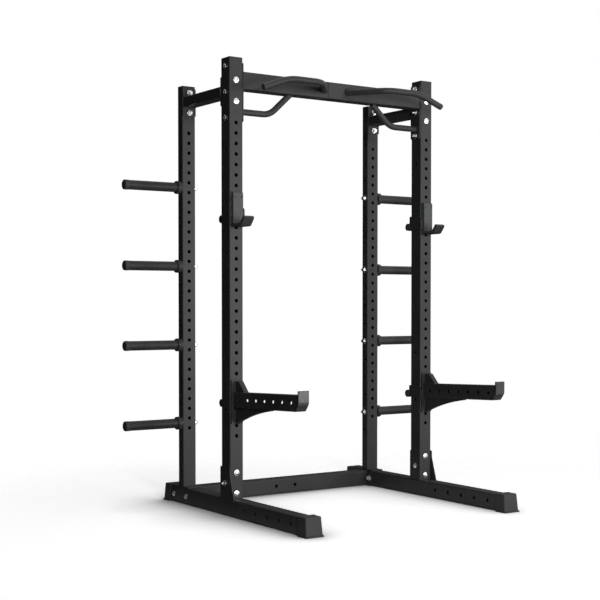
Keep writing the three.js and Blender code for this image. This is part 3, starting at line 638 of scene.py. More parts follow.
def stop_plastic(colours):
    """Grey moulded plastic of the end stops, with a satin skin."""
    tree, shader, spot = start_finish("stop_plastic", Specular_IOR_Level=0.32)
    grain = noise(tree, spot, 1300.0, 2.0)
    broad = noise(tree, spot, 35.0, 3.0)
    clouds = ramp(tree, broad, 0.0, 1.0, 0.35, 0.7)
    tone = mix(tree, clouds, shade(colours.stop, 0.9), shade(colours.stop, 1.1))
    end_finish(tree, shader, tone, ramp(tree, broad, 0.25, 0.32, 0.35, 0.7), grain, 0.06, 0.00008)


def foot_rubber(colours):
    """Matte rubber with a dusty, slightly pitted skin."""
    tree, shader, spot = start_finish("foot_rubber", Sheen_Weight=0.12, Sheen_Roughness=0.5)
    pits = noise(tree, spot, 750.0, 4.0, 0.6)
    dust = noise(tree, spot, 30.0, 4.0)
    tone = mix(tree, ramp(tree, dust, 0.0, 1.0, 0.4, 0.75), colours.rubber, shade(colours.rubber, 1.7))
    end_finish(tree, shader, tone, ramp(tree, pits, 0.55, 0.75, 0.3, 0.7), pits, 0.4, 0.00015)


def bright_zinc(colours):
    """Bright zinc plating with fine machining marks and a faint tarnish."""
    tree, shader, spot = start_finish("bright_zinc", Metallic=1.0)
    marks = noise(tree, spot, 2400.0, 2.0)
    tarnish = noise(tree, spot, 90.0, 3.0)
    tone = mix(tree, ramp(tree, tarnish, 0.0, 1.0, 0.35, 0.7), shade(colours.zinc, 0.88), colours.zinc)
    end_finish(tree, shader, tone, ramp(tree, tarnish, 0.20, 0.34, 0.3, 0.7), marks, 0.12, 0.00005)


def dark_steel(colours):
    """Blackened steel of the small screws."""
    tree, shader, spot = start_finish("dark_steel", Metallic=1.0)
    marks = noise(tree, spot, 1800.0, 2.0)
    tone = mix(tree, marks, shade(colours.zinc, 0.03), shade(colours.zinc, 0.06))
    end_finish(tree, shader, tone, ramp(tree, marks, 0.35, 0.5, 0.3, 0.7), marks, 0.12, 0.00005)


class RACK_OT_finishes(bpy.types.Operator):
    """Mix the finishes of steel, plastic, rubber and zinc"""
    bl_idname = "rack.finishes"
    bl_label = "Mix Finishes"

    def execute(self, context):
        colours = context.scene.rack_colours
        for make in (powder_coat, black_plastic, wear_plastic, stop_plastic, foot_rubber, bright_zinc,
                     dark_steel):
            make(colours)
        return {'FINISHED'}


# Uprights

def upright_tube(sizes, width, depth, foot, top, side_holes):
    """An upright's tube with its two rows of holes, standing on the local origin."""
    front_holes = [sizes.lowest_hole + index * sizes.hole_pitch for index in range(sizes.hole_count)]
    cutters = [drill(aimed((0, 0, height - foot), (0, 1, 0)), sizes.hole_radius, depth)
               for height in front_holes]
    cutters += [drill(aimed((0, 0, height - foot), (1, 0, 0)), sizes.hole_radius, width)
                for height in side_holes]
    return pierced(tube(width, depth, top - foot, sizes), cutters)


class RACK_OT_front_uprights(bpy.types.Operator):
    """Build the two front uprights with their rows of holes"""
    bl_idname = "rack.front_uprights"
    bl_label = "Front Uprights"

    def execute(self, context):
        low, high = corners_of("upright_front_left")
        upright = upright_tube(context.scene.rack_sizes, high.x - low.x, high.y - low.y, low.z, high.z,
                               FRONT_SIDE_HOLES)
        for side, sign in SIDES.items():
            form = copied(upright, shifted(sign * SPACING, (low.y + high.y) / 2, low.z))
            make_piece(f"front_upright_{side}", [form], "powder_coat", f"upright_front_{side}")
        upright.free()
        return {'FINISHED'}


class RACK_OT_rear_uprights(bpy.types.Operator):
    """Build the two slimmer rear uprights on their foot plates"""
    bl_idname = "rack.rear_uprights"
    bl_label = "Rear Uprights"

    def execute(self, context):
        sizes = context.scene.rack_sizes
        low, high = corners_of("upright_rear_left")
        width = high.x - low.x
        start = low.z + FOOT_PLATE
        upright = upright_tube(sizes, width, SLIM_DEPTH, start, high.z, REAR_SIDE_HOLES)
        for side, sign in SIDES.items():
            x = sign * SPACING
            stand = shifted(x, REAR_Y, start)
            foot = slab((x - width / 2, low.y, low.z), (x + width / 2, high.y, start), rounding=0.004,
                        soft=0.0008)
            forms = [copied(upright, stand), foot, bead_box(stand, width, SLIM_DEPTH, sizes.bead)]
            make_piece(f"rear_upright_{side}", forms, "powder_coat", f"upright_rear_{side}")
        upright.free()
        return {'FINISHED'}


class RACK_OT_upright_caps(bpy.types.Operator):
    """Plug the tops of the uprights with plastic caps"""
    bl_idname = "rack.upright_caps"
    bl_label = "Upright Caps"

    def execute(self, context):
        inset = 0.004
        for end in ("front", "rear"):
            for side in SIDES:
                node = f"upright_cap_{end}_{side}"
                low, high = corners_of(node)
                rim = high.z - 0.004
                lid = slab((low.x, low.y, rim), high, rounding=0.006, soft=0.0018, segments=3)
                plug = slab((low.x + inset, low.y + inset, low.z),
                            (high.x - inset, high.y - inset, rim + 0.0005), rounding=0.002, soft=0.0008)
                make_piece(f"cap_{end}_{side}", [lid, plug], "black_plastic", node)
        return {'FINISHED'}


# Base

class RACK_OT_base_rails(bpy.types.Operator):
    """Build the floor rails with the brackets that the front uprights are bolted into"""
    bl_idname = "rack.base_rails"
    bl_label = "Base Rails"

    def execute(self, context):
        sizes = context.scene.rack_sizes
        blank = tube(TUBE_WIDTH, TUBE_DEPTH, RAIL_LENGTH, sizes)
        place(blank, shifted(0, -RAIL_LENGTH / 2, RAIL_Z) @ ALONG_Y)
        rail = pierced(blank, [drill(aimed((0, y, RAIL_HOLE_Z), (1, 0, 0)), sizes.hole_radius, TUBE_WIDTH)
                               for y in RAIL_HOLES])
        for side, sign in SIDES.items():
            forms = [copied(rail, shifted(sign * SPACING)), *self.bracket(sizes, sign)]
            make_piece(f"floor_rail_{side}", forms, "powder_coat", f"base_rail_{side}")
        rail.free()
        return {'FINISHED'}

    def bracket(self, sizes, sign):
        """The plates behind and beside the front upright, and their welds."""
        x = sign * SPACING
        back = BRACKET_Y + BRACKET_PLATE
        outer = sign * (OUTER_FACE + GAP)
        far = sign * (OUTER_FACE + GAP + BRACKET_PLATE)
        lap = RAIL_HIGH - 0.008
        rear = slab((x - TUBE_WIDTH / 2, BRACKET_Y, RAIL_HIGH), (x + TUBE_WIDTH / 2, back, BRACKET_TOP),
                    along="y", rounding=[0, 0, 0.006, 0.006], soft=sizes.edge)
        gusset = prism([(back, lap), (back, BRACKET_TOP), (-0.005, BRACKET_TOP),
                        (-0.005, BRACKET_TOP - 0.034), (-0.042, RAIL_HIGH), (-0.042, lap)],
                       "x", outer, far, rounding=[0.002, 0.008, 0.008, 0.012, 0.004, 0.002],
                       soft=sizes.edge)
        corner = sign * (OUTER_FACE + 0.001)
        joint = bead([(corner, back, RAIL_HIGH), (corner, back, BRACKET_TOP)], sizes.bead)
        foot = bead([(x - 0.034, back, RAIL_HIGH), (x + 0.034, back, RAIL_HIGH)], sizes.bead)
        edge = far - sign * 0.001
        low = bead([(edge, -0.038, lap - 0.0005), (edge, BRACKET_Y, lap - 0.0005)], sizes.bead * 0.8)
        return [rear, gusset, joint, foot, low]


class RACK_OT_feet(bpy.types.Operator):
    """Pull the rubber feet over the ends of the rails"""
    bl_idname = "rack.feet"
    bl_label = "Rubber Feet"

    def execute(self, context):
        for side, sign in SIDES.items():
            for end, turn in (("front", math.pi), ("rear", 0.0)):
                matrix = shifted(sign * SPACING) @ Matrix.Rotation(turn, 4, 'Z')
                forms = [place(form, matrix) for form in self.foot()]
                make_piece(f"rubber_foot_{end}_{side}", forms, "foot_rubber", f"foot_{end}_{side}")
        return {'FINISHED'}

    def foot(self):
        """A boot with a sole, a rib above it and a cuff, on the rear end of a rail."""
        inner, top = 0.593, 0.089
        boot = bmesh.new()
        bmesh.ops.create_cube(boot, size=1.0)
        for vert in boot.verts:
            low = vert.co.z < 0
            outside = vert.co.y > 0
            half = 0.046 if low else 0.0425
            vert.co.x = half if vert.co.x > 0 else -half
            vert.co.y = (0.660 if low else 0.650) if outside else inner
            vert.co.z = 0.0 if low else top
        soften(boot, 0.0045, 4)
        sole = slab((-0.050, inner, 0.0), (0.050, 0.668, 0.0045), rounding=0.008, soft=0.0012)
        rib = slab((-0.0478, inner + 0.002, 0.0042), (0.0478, 0.6635, 0.008), rounding=0.008, soft=0.001)
        cuff = slab((-0.0438, inner - 0.0006, 0.0), (0.0438, inner + 0.006, top + 0.0008), along="y",
                    soft=0.0016)
        return [boot, sole, rib, cuff]


# Crossmembers and beam

class RACK_OT_rear_crossmember(bpy.types.Operator):
    """Join the rails at the back with a flanged crossmember"""
    bl_idname = "rack.rear_crossmember"
    bl_label = "Rear Crossmember"

    def execute(self, context):
        sizes = context.scene.rack_sizes
        near = INNER_FACE - GAP - FLANGE
        half_flange = 0.085
        blank = tube(TUBE_DEPTH, TUBE_WIDTH, 2 * near, sizes)
        place(blank, shifted(-near, CROSS_Y, RAIL_Z) @ ALONG_X)
        holes = [drill(aimed((x, CROSS_Y, RAIL_HOLE_Z), (0, 1, 0)), sizes.hole_radius, TUBE_WIDTH)
                 for x in CROSS_HOLES]
        forms = [pierced(blank, holes)]
        for sign in SIDES.values():
            start, end = sorted((sign * near, sign * (near + FLANGE)))
            forms.append(slab((start, CROSS_Y - half_flange, RAIL_LOW),
                              (end, CROSS_Y + half_flange, RAIL_HIGH), along="x", rounding=0.008,
                              soft=sizes.edge))
            joint = shifted(sign * near, CROSS_Y, RAIL_Z) @ ALONG_X
            forms.append(bead_box(joint, TUBE_DEPTH, TUBE_WIDTH, sizes.bead))
        make_piece("floor_crossmember", forms, "powder_coat", "rear_crossmember")
        return {'FINISHED'}


class RACK_OT_side_crossmembers(bpy.types.Operator):
    """Join the front and rear uprights at the top"""
    bl_idname = "rack.side_crossmembers"
    bl_label = "Side Crossmembers"

    def execute(self, context):
        sizes = context.scene.rack_sizes
        for side, sign in SIDES.items():
            x = sign * SPACING
            node = f"side_crossmember_{side}"
            low, high = corners_of(node)
            start, end = low.y + FLANGE, high.y - FLANGE
            arm = tube(TUBE_WIDTH, SLIM_DEPTH, end - start, sizes)
            forms = [place(arm, shifted(x, start, SIDE_Z) @ ALONG_Y)]
            for first, last, joint in ((low.y, start, start), (end, high.y, end)):
                forms.append(slab((low.x, first, low.z), (high.x, last, high.z), along="y", rounding=0.006,
                                  soft=sizes.edge))
                forms.append(bead_box(shifted(x, joint, SIDE_Z) @ ALONG_Y, TUBE_WIDTH, SLIM_DEPTH,
                                      sizes.bead))
            make_piece(f"side_tube_{side}", forms, "powder_coat", node)
        return {'FINISHED'}


class RACK_OT_beam(bpy.types.Operator):
    """Span the front uprights with the pull-up beam and its blank plate"""
    bl_idname = "rack.beam"
    bl_label = "Pull-up Beam"

    def execute(self, context):
        sizes = context.scene.rack_sizes
        low, high = corners_of("pull_up_beam")
        near = high.x - FLANGE
        y = (low.y + high.y) / 2
        beam = tube(BEAM_DEPTH, TUBE_WIDTH, 2 * near, sizes)
        forms = [place(beam, shifted(-near, y, BEAM_Z) @ ALONG_X)]
        for sign in SIDES.values():
            start, end = sorted((sign * near, sign * high.x))
            forms.append(slab((start, low.y, low.z), (end, high.y, high.z), along="x", rounding=0.010,
                              soft=sizes.edge))
            forms.append(bead_box(shifted(sign * near, y, BEAM_Z) @ ALONG_X, BEAM_DEPTH, TUBE_WIDTH,
                                  sizes.bead))
        make_piece("beam", forms, "powder_coat", "pull_up_beam")
        low, high = corners_of("badge_plate")
        margin = 0.006
        plate = slab(low, high, along="y", rounding=0.006, soft=0.0007)
        field = slab((low.x + margin, low.y - 0.0004, low.z + margin),
                     (high.x - margin, low.y + 0.001, high.z - margin), along="y", rounding=0.004,
                     soft=0.0004)
        make_piece("blank_plate", [plate, field], "powder_coat", "badge_plate")
        return {'FINISHED'}


class RACK_OT_grips(bpy.types.Operator):
    """Bend the grips in front of the beam and the bars below it"""
    bl_idname = "rack.grips"
    bl_label = "Grips"

    def execute(self, context):
        bead_radius = context.scene.rack_sizes.bead
        for side, sign in SIDES.items():
            self.lower_bar(side, sign, bead_radius)
            self.upper_bar(side, sign, bead_radius)
        return {'FINISHED'}

    def lower_bar(self, side, sign, bead_radius):
        """A bar from the beam's flange that bends up to its underside."""
        under = BEAM_Z - BEAM_DEPTH / 2
        path = bent([(sign * 0.5434, FRONT_Y, LOWER_BAR_Z), (sign * 0.373, FRONT_Y, LOWER_BAR_Z),
                     (sign * 0.2575, FRONT_Y, under + 0.0015)], 0.040)
        root = bead_round((sign * 0.5425, FRONT_Y, LOWER_BAR_Z), (1, 0, 0), BAR_RADIUS + 0.0004, bead_radius)
        make_piece(f"lower_bar_{side}", [swept(path, BAR_RADIUS), root], "powder_coat", f"lower_grip_{side}")

    def upper_bar(self, side, sign, bead_radius):
        """A grip welded to the front of the beam, with a cap in its outer end."""
        front = 0.0025 - GAP
        tip = Vector((sign * 0.538, GRIP_Y, GRIP_Z - 0.053))
        bend = Vector((sign * 0.395, GRIP_Y, GRIP_Z))
        path = bent([tip, bend, (sign * 0.206, GRIP_Y, GRIP_Z),
                     (sign * 0.0685, front + 0.002, GRIP_Z)], 0.050)
        root = bead_round((sign * 0.070, front - 0.0005, GRIP_Z), (0, 1, 0), BAR_RADIUS + 0.0028, bead_radius)
        make_piece(f"upper_bar_{side}", [swept(path, BAR_RADIUS), root], "powder_coat", f"upper_grip_{side}")
        cap = turned(BAR_CAP, aimed(tip, tip - bend))
        make_piece(f"upper_bar_cap_{side}", [cap], "black_plastic", f"upper_grip_cap_{side}")


# Storage pegs

class RACK_OT_storage_pegs(bpy.types.Operator):
    """Stand the storage pegs out from the rear uprights"""
    bl_idname = "rack.storage_pegs"
    bl_label = "Storage Pegs"

    def execute(self, context):
        bead_radius = context.scene.rack_sizes.bead
        for side, sign in SIDES.items():
            for index in range(1, len(PEG_HEIGHTS) + 1):
                node = f"storage_peg_{side}_{index}"
                low, high = corners_of(node)
                matrix = aimed((sign * (OUTER_FACE + GAP), REAR_Y, (low.z + high.z) / 2), (sign, 0, 0))
                ring = bead_round(matrix @ Vector((0, 0, 0.0252)), (sign, 0, 0), 0.0250, bead_radius)
                forms = [turned(COLLARED_SLEEVE, matrix, 48), turned(SLEEVE_STUD, matrix), ring]
                make_piece(f"weight_peg_{side}_{index}", forms, "powder_coat", node)
                make_piece(f"weight_peg_cap_{side}_{index}", [turned(SLEEVE_CAP, matrix, 48)],
                           "black_plastic", f"storage_peg_cap_{side}_{index}")
        return {'FINISHED'}


# Bolts

class RACK_OT_bolts(bpy.types.Operator):
    """Bolt the frame together"""
    bl_idname = "rack.bolts"
    bl_label = "Bolts"

    def execute(self, context):
        sizes = context.scene.rack_sizes
        for side, sign in SIDES.items():
            self.front_bolts(sizes, side, sign)
            self.side_bolts(sizes, side, sign)
            self.rear_bolts(sizes, side, sign)
        return {'FINISHED'}

    def through(self, sizes, start, end):
        """A bolt with its head at one point and its nut at the other."""
        start, end = Vector(start), Vector(end)
        outward = start - end
        radius = 0.008
        shank = turned([(0, 0), (radius, 0), (radius, outward.length), (0, outward.length)],
                       aimed(end, outward), 16)
        return [dome_head(start, outward, sizes), *bolt_nut(end, -outward, sizes), shank]

    def front_bolts(self, sizes, side, sign):
        """Bolts from the front through the front upright, at its foot and at its top."""
        x = sign * SPACING
        bracket = BRACKET_Y + BRACKET_PLATE + GAP
        flange = BRACKET_Y + FLANGE + GAP
        for label, height in (("lower", 0.110), ("upper", 0.210)):
            forms = self.through(sizes, (x, -GAP, height), (x, bracket, height))
            make_piece(f"base_bolt_{label}_{side}", forms, "bright_zinc", f"base_bolt_{side}_front_{label}")
        forms = []
        for height in (2.091, 1.990):
            forms += self.through(sizes, (x, -GAP, height), (x, flange, height))
        make_piece(f"top_bolts_front_{side}", forms, "bright_zinc")

    def side_bolts(self, sizes, side, sign):
        """Bolts through the sides of the front upright and of the rail."""
        outer = sign * (OUTER_FACE + GAP)
        inner = sign * (INNER_FACE - 2 * GAP - FLANGE)
        forms = []
        for height in (2.157, 2.034, 1.912):
            forms += self.through(sizes, (outer, FRONT_Y, height), (inner, FRONT_Y, height))
        make_piece(f"top_bolts_side_{side}", forms, "bright_zinc")
        height = 0.159
        head = (sign * (INNER_FACE - GAP), FRONT_Y, height)
        nut = (outer + sign * (BRACKET_PLATE + GAP), FRONT_Y, height)
        make_piece(f"base_bolt_side_{side}", self.through(sizes, head, nut), "bright_zinc",
                   f"base_bolt_{side}_side")
        forms = []
        for y in (0.4375, 0.5625):
            forms += self.through(sizes, (outer, y, RAIL_Z), (inner, y, RAIL_Z))
        make_piece(f"rail_bolts_{side}", forms, "bright_zinc")

    def rear_bolts(self, sizes, side, sign):
        """Bolts through the top of the rear upright, and the nuts of its storage pegs."""
        x = sign * SPACING
        half = SLIM_DEPTH / 2
        forms = []
        for height in (2.090, 1.990):
            forms += self.through(sizes, (x, REAR_Y + half + GAP, height),
                                  (x, REAR_Y - half - FLANGE - 2 * GAP, height))
        make_piece(f"top_bolts_rear_{side}", forms, "bright_zinc")
        forms = []
        for height in PEG_HEIGHTS:
            forms += bolt_nut((sign * (INNER_FACE - GAP), REAR_Y, height), (-sign, 0, 0), sizes)
        make_piece(f"peg_nuts_{side}", forms, "bright_zinc")


# Hanging attachments

def hanger(sizes, sign, low, high, peg_height, roller_height):
    """The front plate, side plate, ear and weld that J-cups and spotter arms share."""
    x = sign * SPACING
    front = slab((x - HALF_PLATE, PLATE_Y, low), (x + HALF_PLATE, -GAP, high), along="y", rounding=0.006,
                 soft=sizes.edge)
    face = INNER_FACE - GAP
    hub, back = 0.016, 0.087
    bottom, shoulder, top = roller_height - hub, roller_height + hub, peg_height - 0.051
    near, far = sorted((sign * face, sign * (face - SIDE_PLATE)))
    side = prism([(PLATE_Y, bottom), (ROLLER_Y + hub, bottom), (ROLLER_Y + hub, shoulder),
                  (back, shoulder + 0.003), (back, top), (PLATE_Y, top)], "x", near, far,
                 rounding=[0.001, 0.0155, 0.0130, 0.002, 0.007, 0.022], soft=sizes.edge)
    start, end = sorted((sign * face, sign * (SPACING - HALF_PLATE + 0.001)))
    ear = slab((start - 0.001, PLATE_Y, bottom), (end + 0.001, -GAP, top - 0.022), along="y",
               soft=sizes.edge)
    inside = sign * (face + 0.0005)
    seam = bead([(inside, PLATE_Y, bottom + 0.004), (inside, PLATE_Y, top - 0.024)], sizes.bead * 0.8)
    return [front, side, ear, seam]


def peg_and_roller(name, sign, peg_height, roller_height, body, roller_node):
    """The steel peg that goes in the hole and the plastic roller behind the upright."""
    pin = turned(LOCATING_PIN, aimed((sign * SPACING, 0, peg_height), (0, 1, 0)))
    make_piece(f"{name}_pin", [pin], "bright_zinc", None, body)
    start = sign * (INNER_FACE - 2 * GAP - SIDE_PLATE)
    roller = turned(ROLLER, aimed((start, ROLLER_Y, roller_height), (sign, 0, 0)), 40)
    make_piece(f"{name}_roller", [roller], "black_plastic", roller_node, body)


def hook_line(lift):
    """Where a J-cup hook's surface turns and where it ends, lift metres above its underside."""
    across, up = math.cos(HOOK_SLOPE), math.sin(HOOK_SLOPE)
    turn = (HOOK_SHELF + lift * math.tan(HOOK_SLOPE / 2), JCUP_LOW + lift)
    tip = (HOOK_SHELF - HOOK_REACH * across + lift * up, JCUP_LOW + HOOK_REACH * up + lift * across)
    return turn, tip


class RACK_OT_jcups(bpy.types.Operator):
    """Hang the J-cups with their liners and rollers"""
    bl_idname = "rack.jcups"
    bl_label = "J-cups"

    def execute(self, context):
        sizes = context.scene.rack_sizes
        for side, sign in SIDES.items():
            x, body = sign * SPACING, f"{side}_jcup_body"
            forms = [*hanger(sizes, sign, JCUP_LOW, JCUP_HIGH, JCUP_PEG, JCUP_ROLLER), *self.hook(sizes, x)]
            make_piece(f"cup_bracket_{side}", forms, "powder_coat", f"jcup_{side}", body)
            make_piece(f"cup_liner_{side}", [self.liner(x)], "wear_plastic", f"jcup_liner_{side}", body)
            make_piece(f"cup_screws_{side}", self.screws(x), "dark_steel", None, body)
            peg_and_roller(f"cup_{side}", sign, JCUP_PEG, JCUP_ROLLER, body, f"jcup_roller_{side}")
        return {'FINISHED'}

    def hook(self, sizes, x):
        """The bent plate under the bar and its weld."""
        turn, tip = hook_line(0.0)
        top_turn, top_tip = hook_line(HOOK_PLATE)
        top = JCUP_LOW + HOOK_PLATE
        hook = prism([(-GAP, JCUP_LOW), (-GAP, top), top_turn, top_tip, tip, turn],
                     "x", x - HALF_HOOK, x + HALF_HOOK, rounding=[0.003, 0, 0.004, 0.0015, 0.0015, 0.010],
                     soft=sizes.edge, nip=0.009, nip_from=tip[0] + 0.008)
        inset, seam = 0.002, top + 0.0005
        weld = bead([(x - HALF_HOOK + inset, PLATE_Y, seam), (x + HALF_HOOK - inset, PLATE_Y, seam)],
                    sizes.bead)
        return [hook, weld]

    def liner(self, x):
        """The bent plastic strip that the bar touches."""
        wall, thick = PLATE_Y - GAP, 0.010
        under, over, high = HOOK_PLATE + GAP, 0.0163, JCUP_HIGH - 0.004
        under_turn, under_tip = hook_line(under)
        over_turn, over_tip = hook_line(over)
        return prism([(wall, high), (wall - thick, high), (wall - thick, JCUP_LOW + over), over_turn,
                      over_tip, under_tip, under_turn, (wall, JCUP_LOW + under)],
                     "x", x - HALF_HOOK, x + HALF_HOOK,
                     rounding=[0.001, 0.004, 0.010, 0.008, 0.004, 0.001, 0.003, 0.001], soft=0.0014,
                     segments=3, nip=0.009, nip_from=over_tip[0] + 0.006)

    def screws(self, x):
        """The four screws that hold the liner."""
        face = PLATE_Y - GAP - 0.0096
        return [turned(LINER_SCREW, aimed((x + across, face, height), (0, -1, 0)), 20)
                for across in (-0.018, 0.018) for height in (1.533, 1.420)]


def arm_centre(reach):
    """Height of a spotter arm's centre line, reach metres in front of the upright."""
    return ARM_Z + reach * math.tan(ARM_TILT)


class RACK_OT_spotter_arms(bpy.types.Operator):
    """Hang the spotter arms with their webs, end stops and rollers"""
    bl_idname = "rack.spotter_arms"
    bl_label = "Spotter Arms"

    def execute(self, context):
        sizes = context.scene.rack_sizes
        for side, sign in SIDES.items():
            x, body = sign * SPACING, f"{side}_arm_body"
            forms = [*hanger(sizes, sign, ARM_LOW, ARM_HIGH, ARM_PEG, ARM_ROLLER), self.bar(sizes, x),
                     *self.webs(x), *self.seams(sizes, x)]
            make_piece(f"safety_arm_{side}", forms, "powder_coat", f"spotter_arm_{side}", body)
            make_piece(f"safety_arm_end_{side}", [self.end_stop(x)], "stop_plastic",
                       f"spotter_arm_end_{side}", body)
            peg_and_roller(f"safety_arm_{side}", sign, ARM_PEG, ARM_ROLLER, body,
                           f"spotter_arm_roller_{side}")
        return {'FINISHED'}

    def bar(self, sizes, x):
        """The arm's tube, cut square at the upright and bevelled at its end, with its row of holes."""
        bottom, top = arm_centre(ARM_REACH) - HALF_ARM, arm_centre(ARM_REACH) + HALF_ARM
        blank = tube(ARM_WIDTH, 2 * HALF_ARM, ARM_REACH + 0.04, sizes, 0.005)
        place(blank, shifted(x, 0, ARM_Z) @ Matrix.Rotation(-ARM_TILT, 4, 'X') @ TO_FRONT)
        near, far, margin = x - ARM_WIDTH, x + ARM_WIDTH, 0.1
        beyond = -ARM_REACH - margin
        cuts = [slab((near, PLATE_Y + 0.001, ARM_LOW - margin), (far, 0.2, ARM_HIGH + margin), soft=0),
                prism([(-ARM_REACH, top + margin / 2), (beyond, top + margin / 2),
                       (beyond, bottom - margin / 2), (-ARM_REACH + 0.054, bottom - 0.0335),
                       (-ARM_REACH, bottom + 0.0335)], "x", near, far, soft=0)]
        cuts += [drill(aimed((x, -reach, arm_centre(reach)), (1, 0, 0)), sizes.hole_radius, ARM_WIDTH)
                 for reach in ARM_HOLES]
        return pierced(blank, cuts)

    def webs(self, x):
        """The curved web below the arm and the short one above it."""
        sunk = 0.001
        root, inside = PLATE_Y + sunk, HALF_ARM - sunk
        end, foot, flat = 0.310, 0.093, 0.043
        tip = (-end, arm_centre(end) - HALF_ARM - 0.006)
        arc = interpolate_bezier(Vector(tip), Vector((-0.200, ARM_LOW + 0.069)),
                                 Vector((-0.095, ARM_LOW + 0.041)), Vector((PLATE_Y, ARM_LOW + sunk)), 16)
        below = [(root, arm_centre(0) - inside), (-end, arm_centre(end) - inside), tip,
                 *(tuple(spot) for spot in arc[1:])]
        above = [(root, arm_centre(0) + inside), (root, ARM_HIGH - 0.006), (-flat, ARM_HIGH - 0.006),
                 (-foot, arm_centre(foot) + inside)]
        return [prism(outline, "x", x - HALF_WEB, x + HALF_WEB, rounding=rounding, soft=0.0012)
                for outline, rounding in ((below, 0.0), (above, [0, 0, 0.004, 0]))]

    def seams(self, sizes, x):
        """The welds of the webs and of the tube."""
        under, over = ARM_Z - HALF_ARM, ARM_Z + HALF_ARM
        beads = []
        for face in (x - HALF_WEB, x + HALF_WEB):
            beads.append(bead([(face, PLATE_Y, ARM_LOW + 0.004), (face, PLATE_Y, under)], sizes.bead))
            beads.append(bead([(face, PLATE_Y, over), (face, PLATE_Y, ARM_HIGH - 0.008)], sizes.bead))
            for reach, half in ((0.306, -HALF_ARM), (0.090, HALF_ARM)):
                beads.append(bead([(face, PLATE_Y - 0.002, arm_centre(0) + half),
                                   (face, -reach, arm_centre(reach) + half)], sizes.bead * 0.9))
        for face in (x - ARM_WIDTH / 2, x + ARM_WIDTH / 2):
            beads.append(bead([(face, PLATE_Y, under + 0.005), (face, PLATE_Y, over - 0.005)], sizes.bead))
        return beads

    def end_stop(self, x):
        """The bent plate that keeps a bar on the arm."""
        bottom = arm_centre(ARM_REACH) - HALF_ARM
        top = arm_centre(ARM_REACH) + HALF_ARM + 0.0185
        bevel = bottom + 0.0335
        near = -ARM_REACH - GAP
        thick, back, half = 0.0087, 0.027, 0.028
        return prism([(near, top), (near - thick, top), (near - thick, bevel), (near + back - thick, bottom),
                      (near + back, bottom), (near, bevel)], "x", x - half, x + half,
                     rounding=[0.002, 0.003, 0.010, 0.002, 0.001, 0.006], soft=0.0016, segments=3)


# Stage

WHITE = (1.0, 1.0, 1.0, 1.0)


def seen_by_eye(tree):
    """One for rays from the camera, or that glossy or clear surfaces send out, and nothing otherwise."""
    path = tree.nodes.new("ShaderNodeLightPath")
    total = path.outputs["Is Camera Ray"]
    for name in ("Is Glossy Ray", "Is Transmission Ray"):
        total = calculated(tree, 'MAXIMUM', total, path.outputs[name])
    return total


def show(name, bm, material):
    """Makes a form a part of the stage."""
    mesh = bpy.data.meshes.new(name)
    bm.to_mesh(mesh)
    bm.free()
    mesh.materials.append(material)
    shown = bpy.data.objects.new(name, mesh)
    bpy.context.scene.collection.objects.link(shown)
    return shown


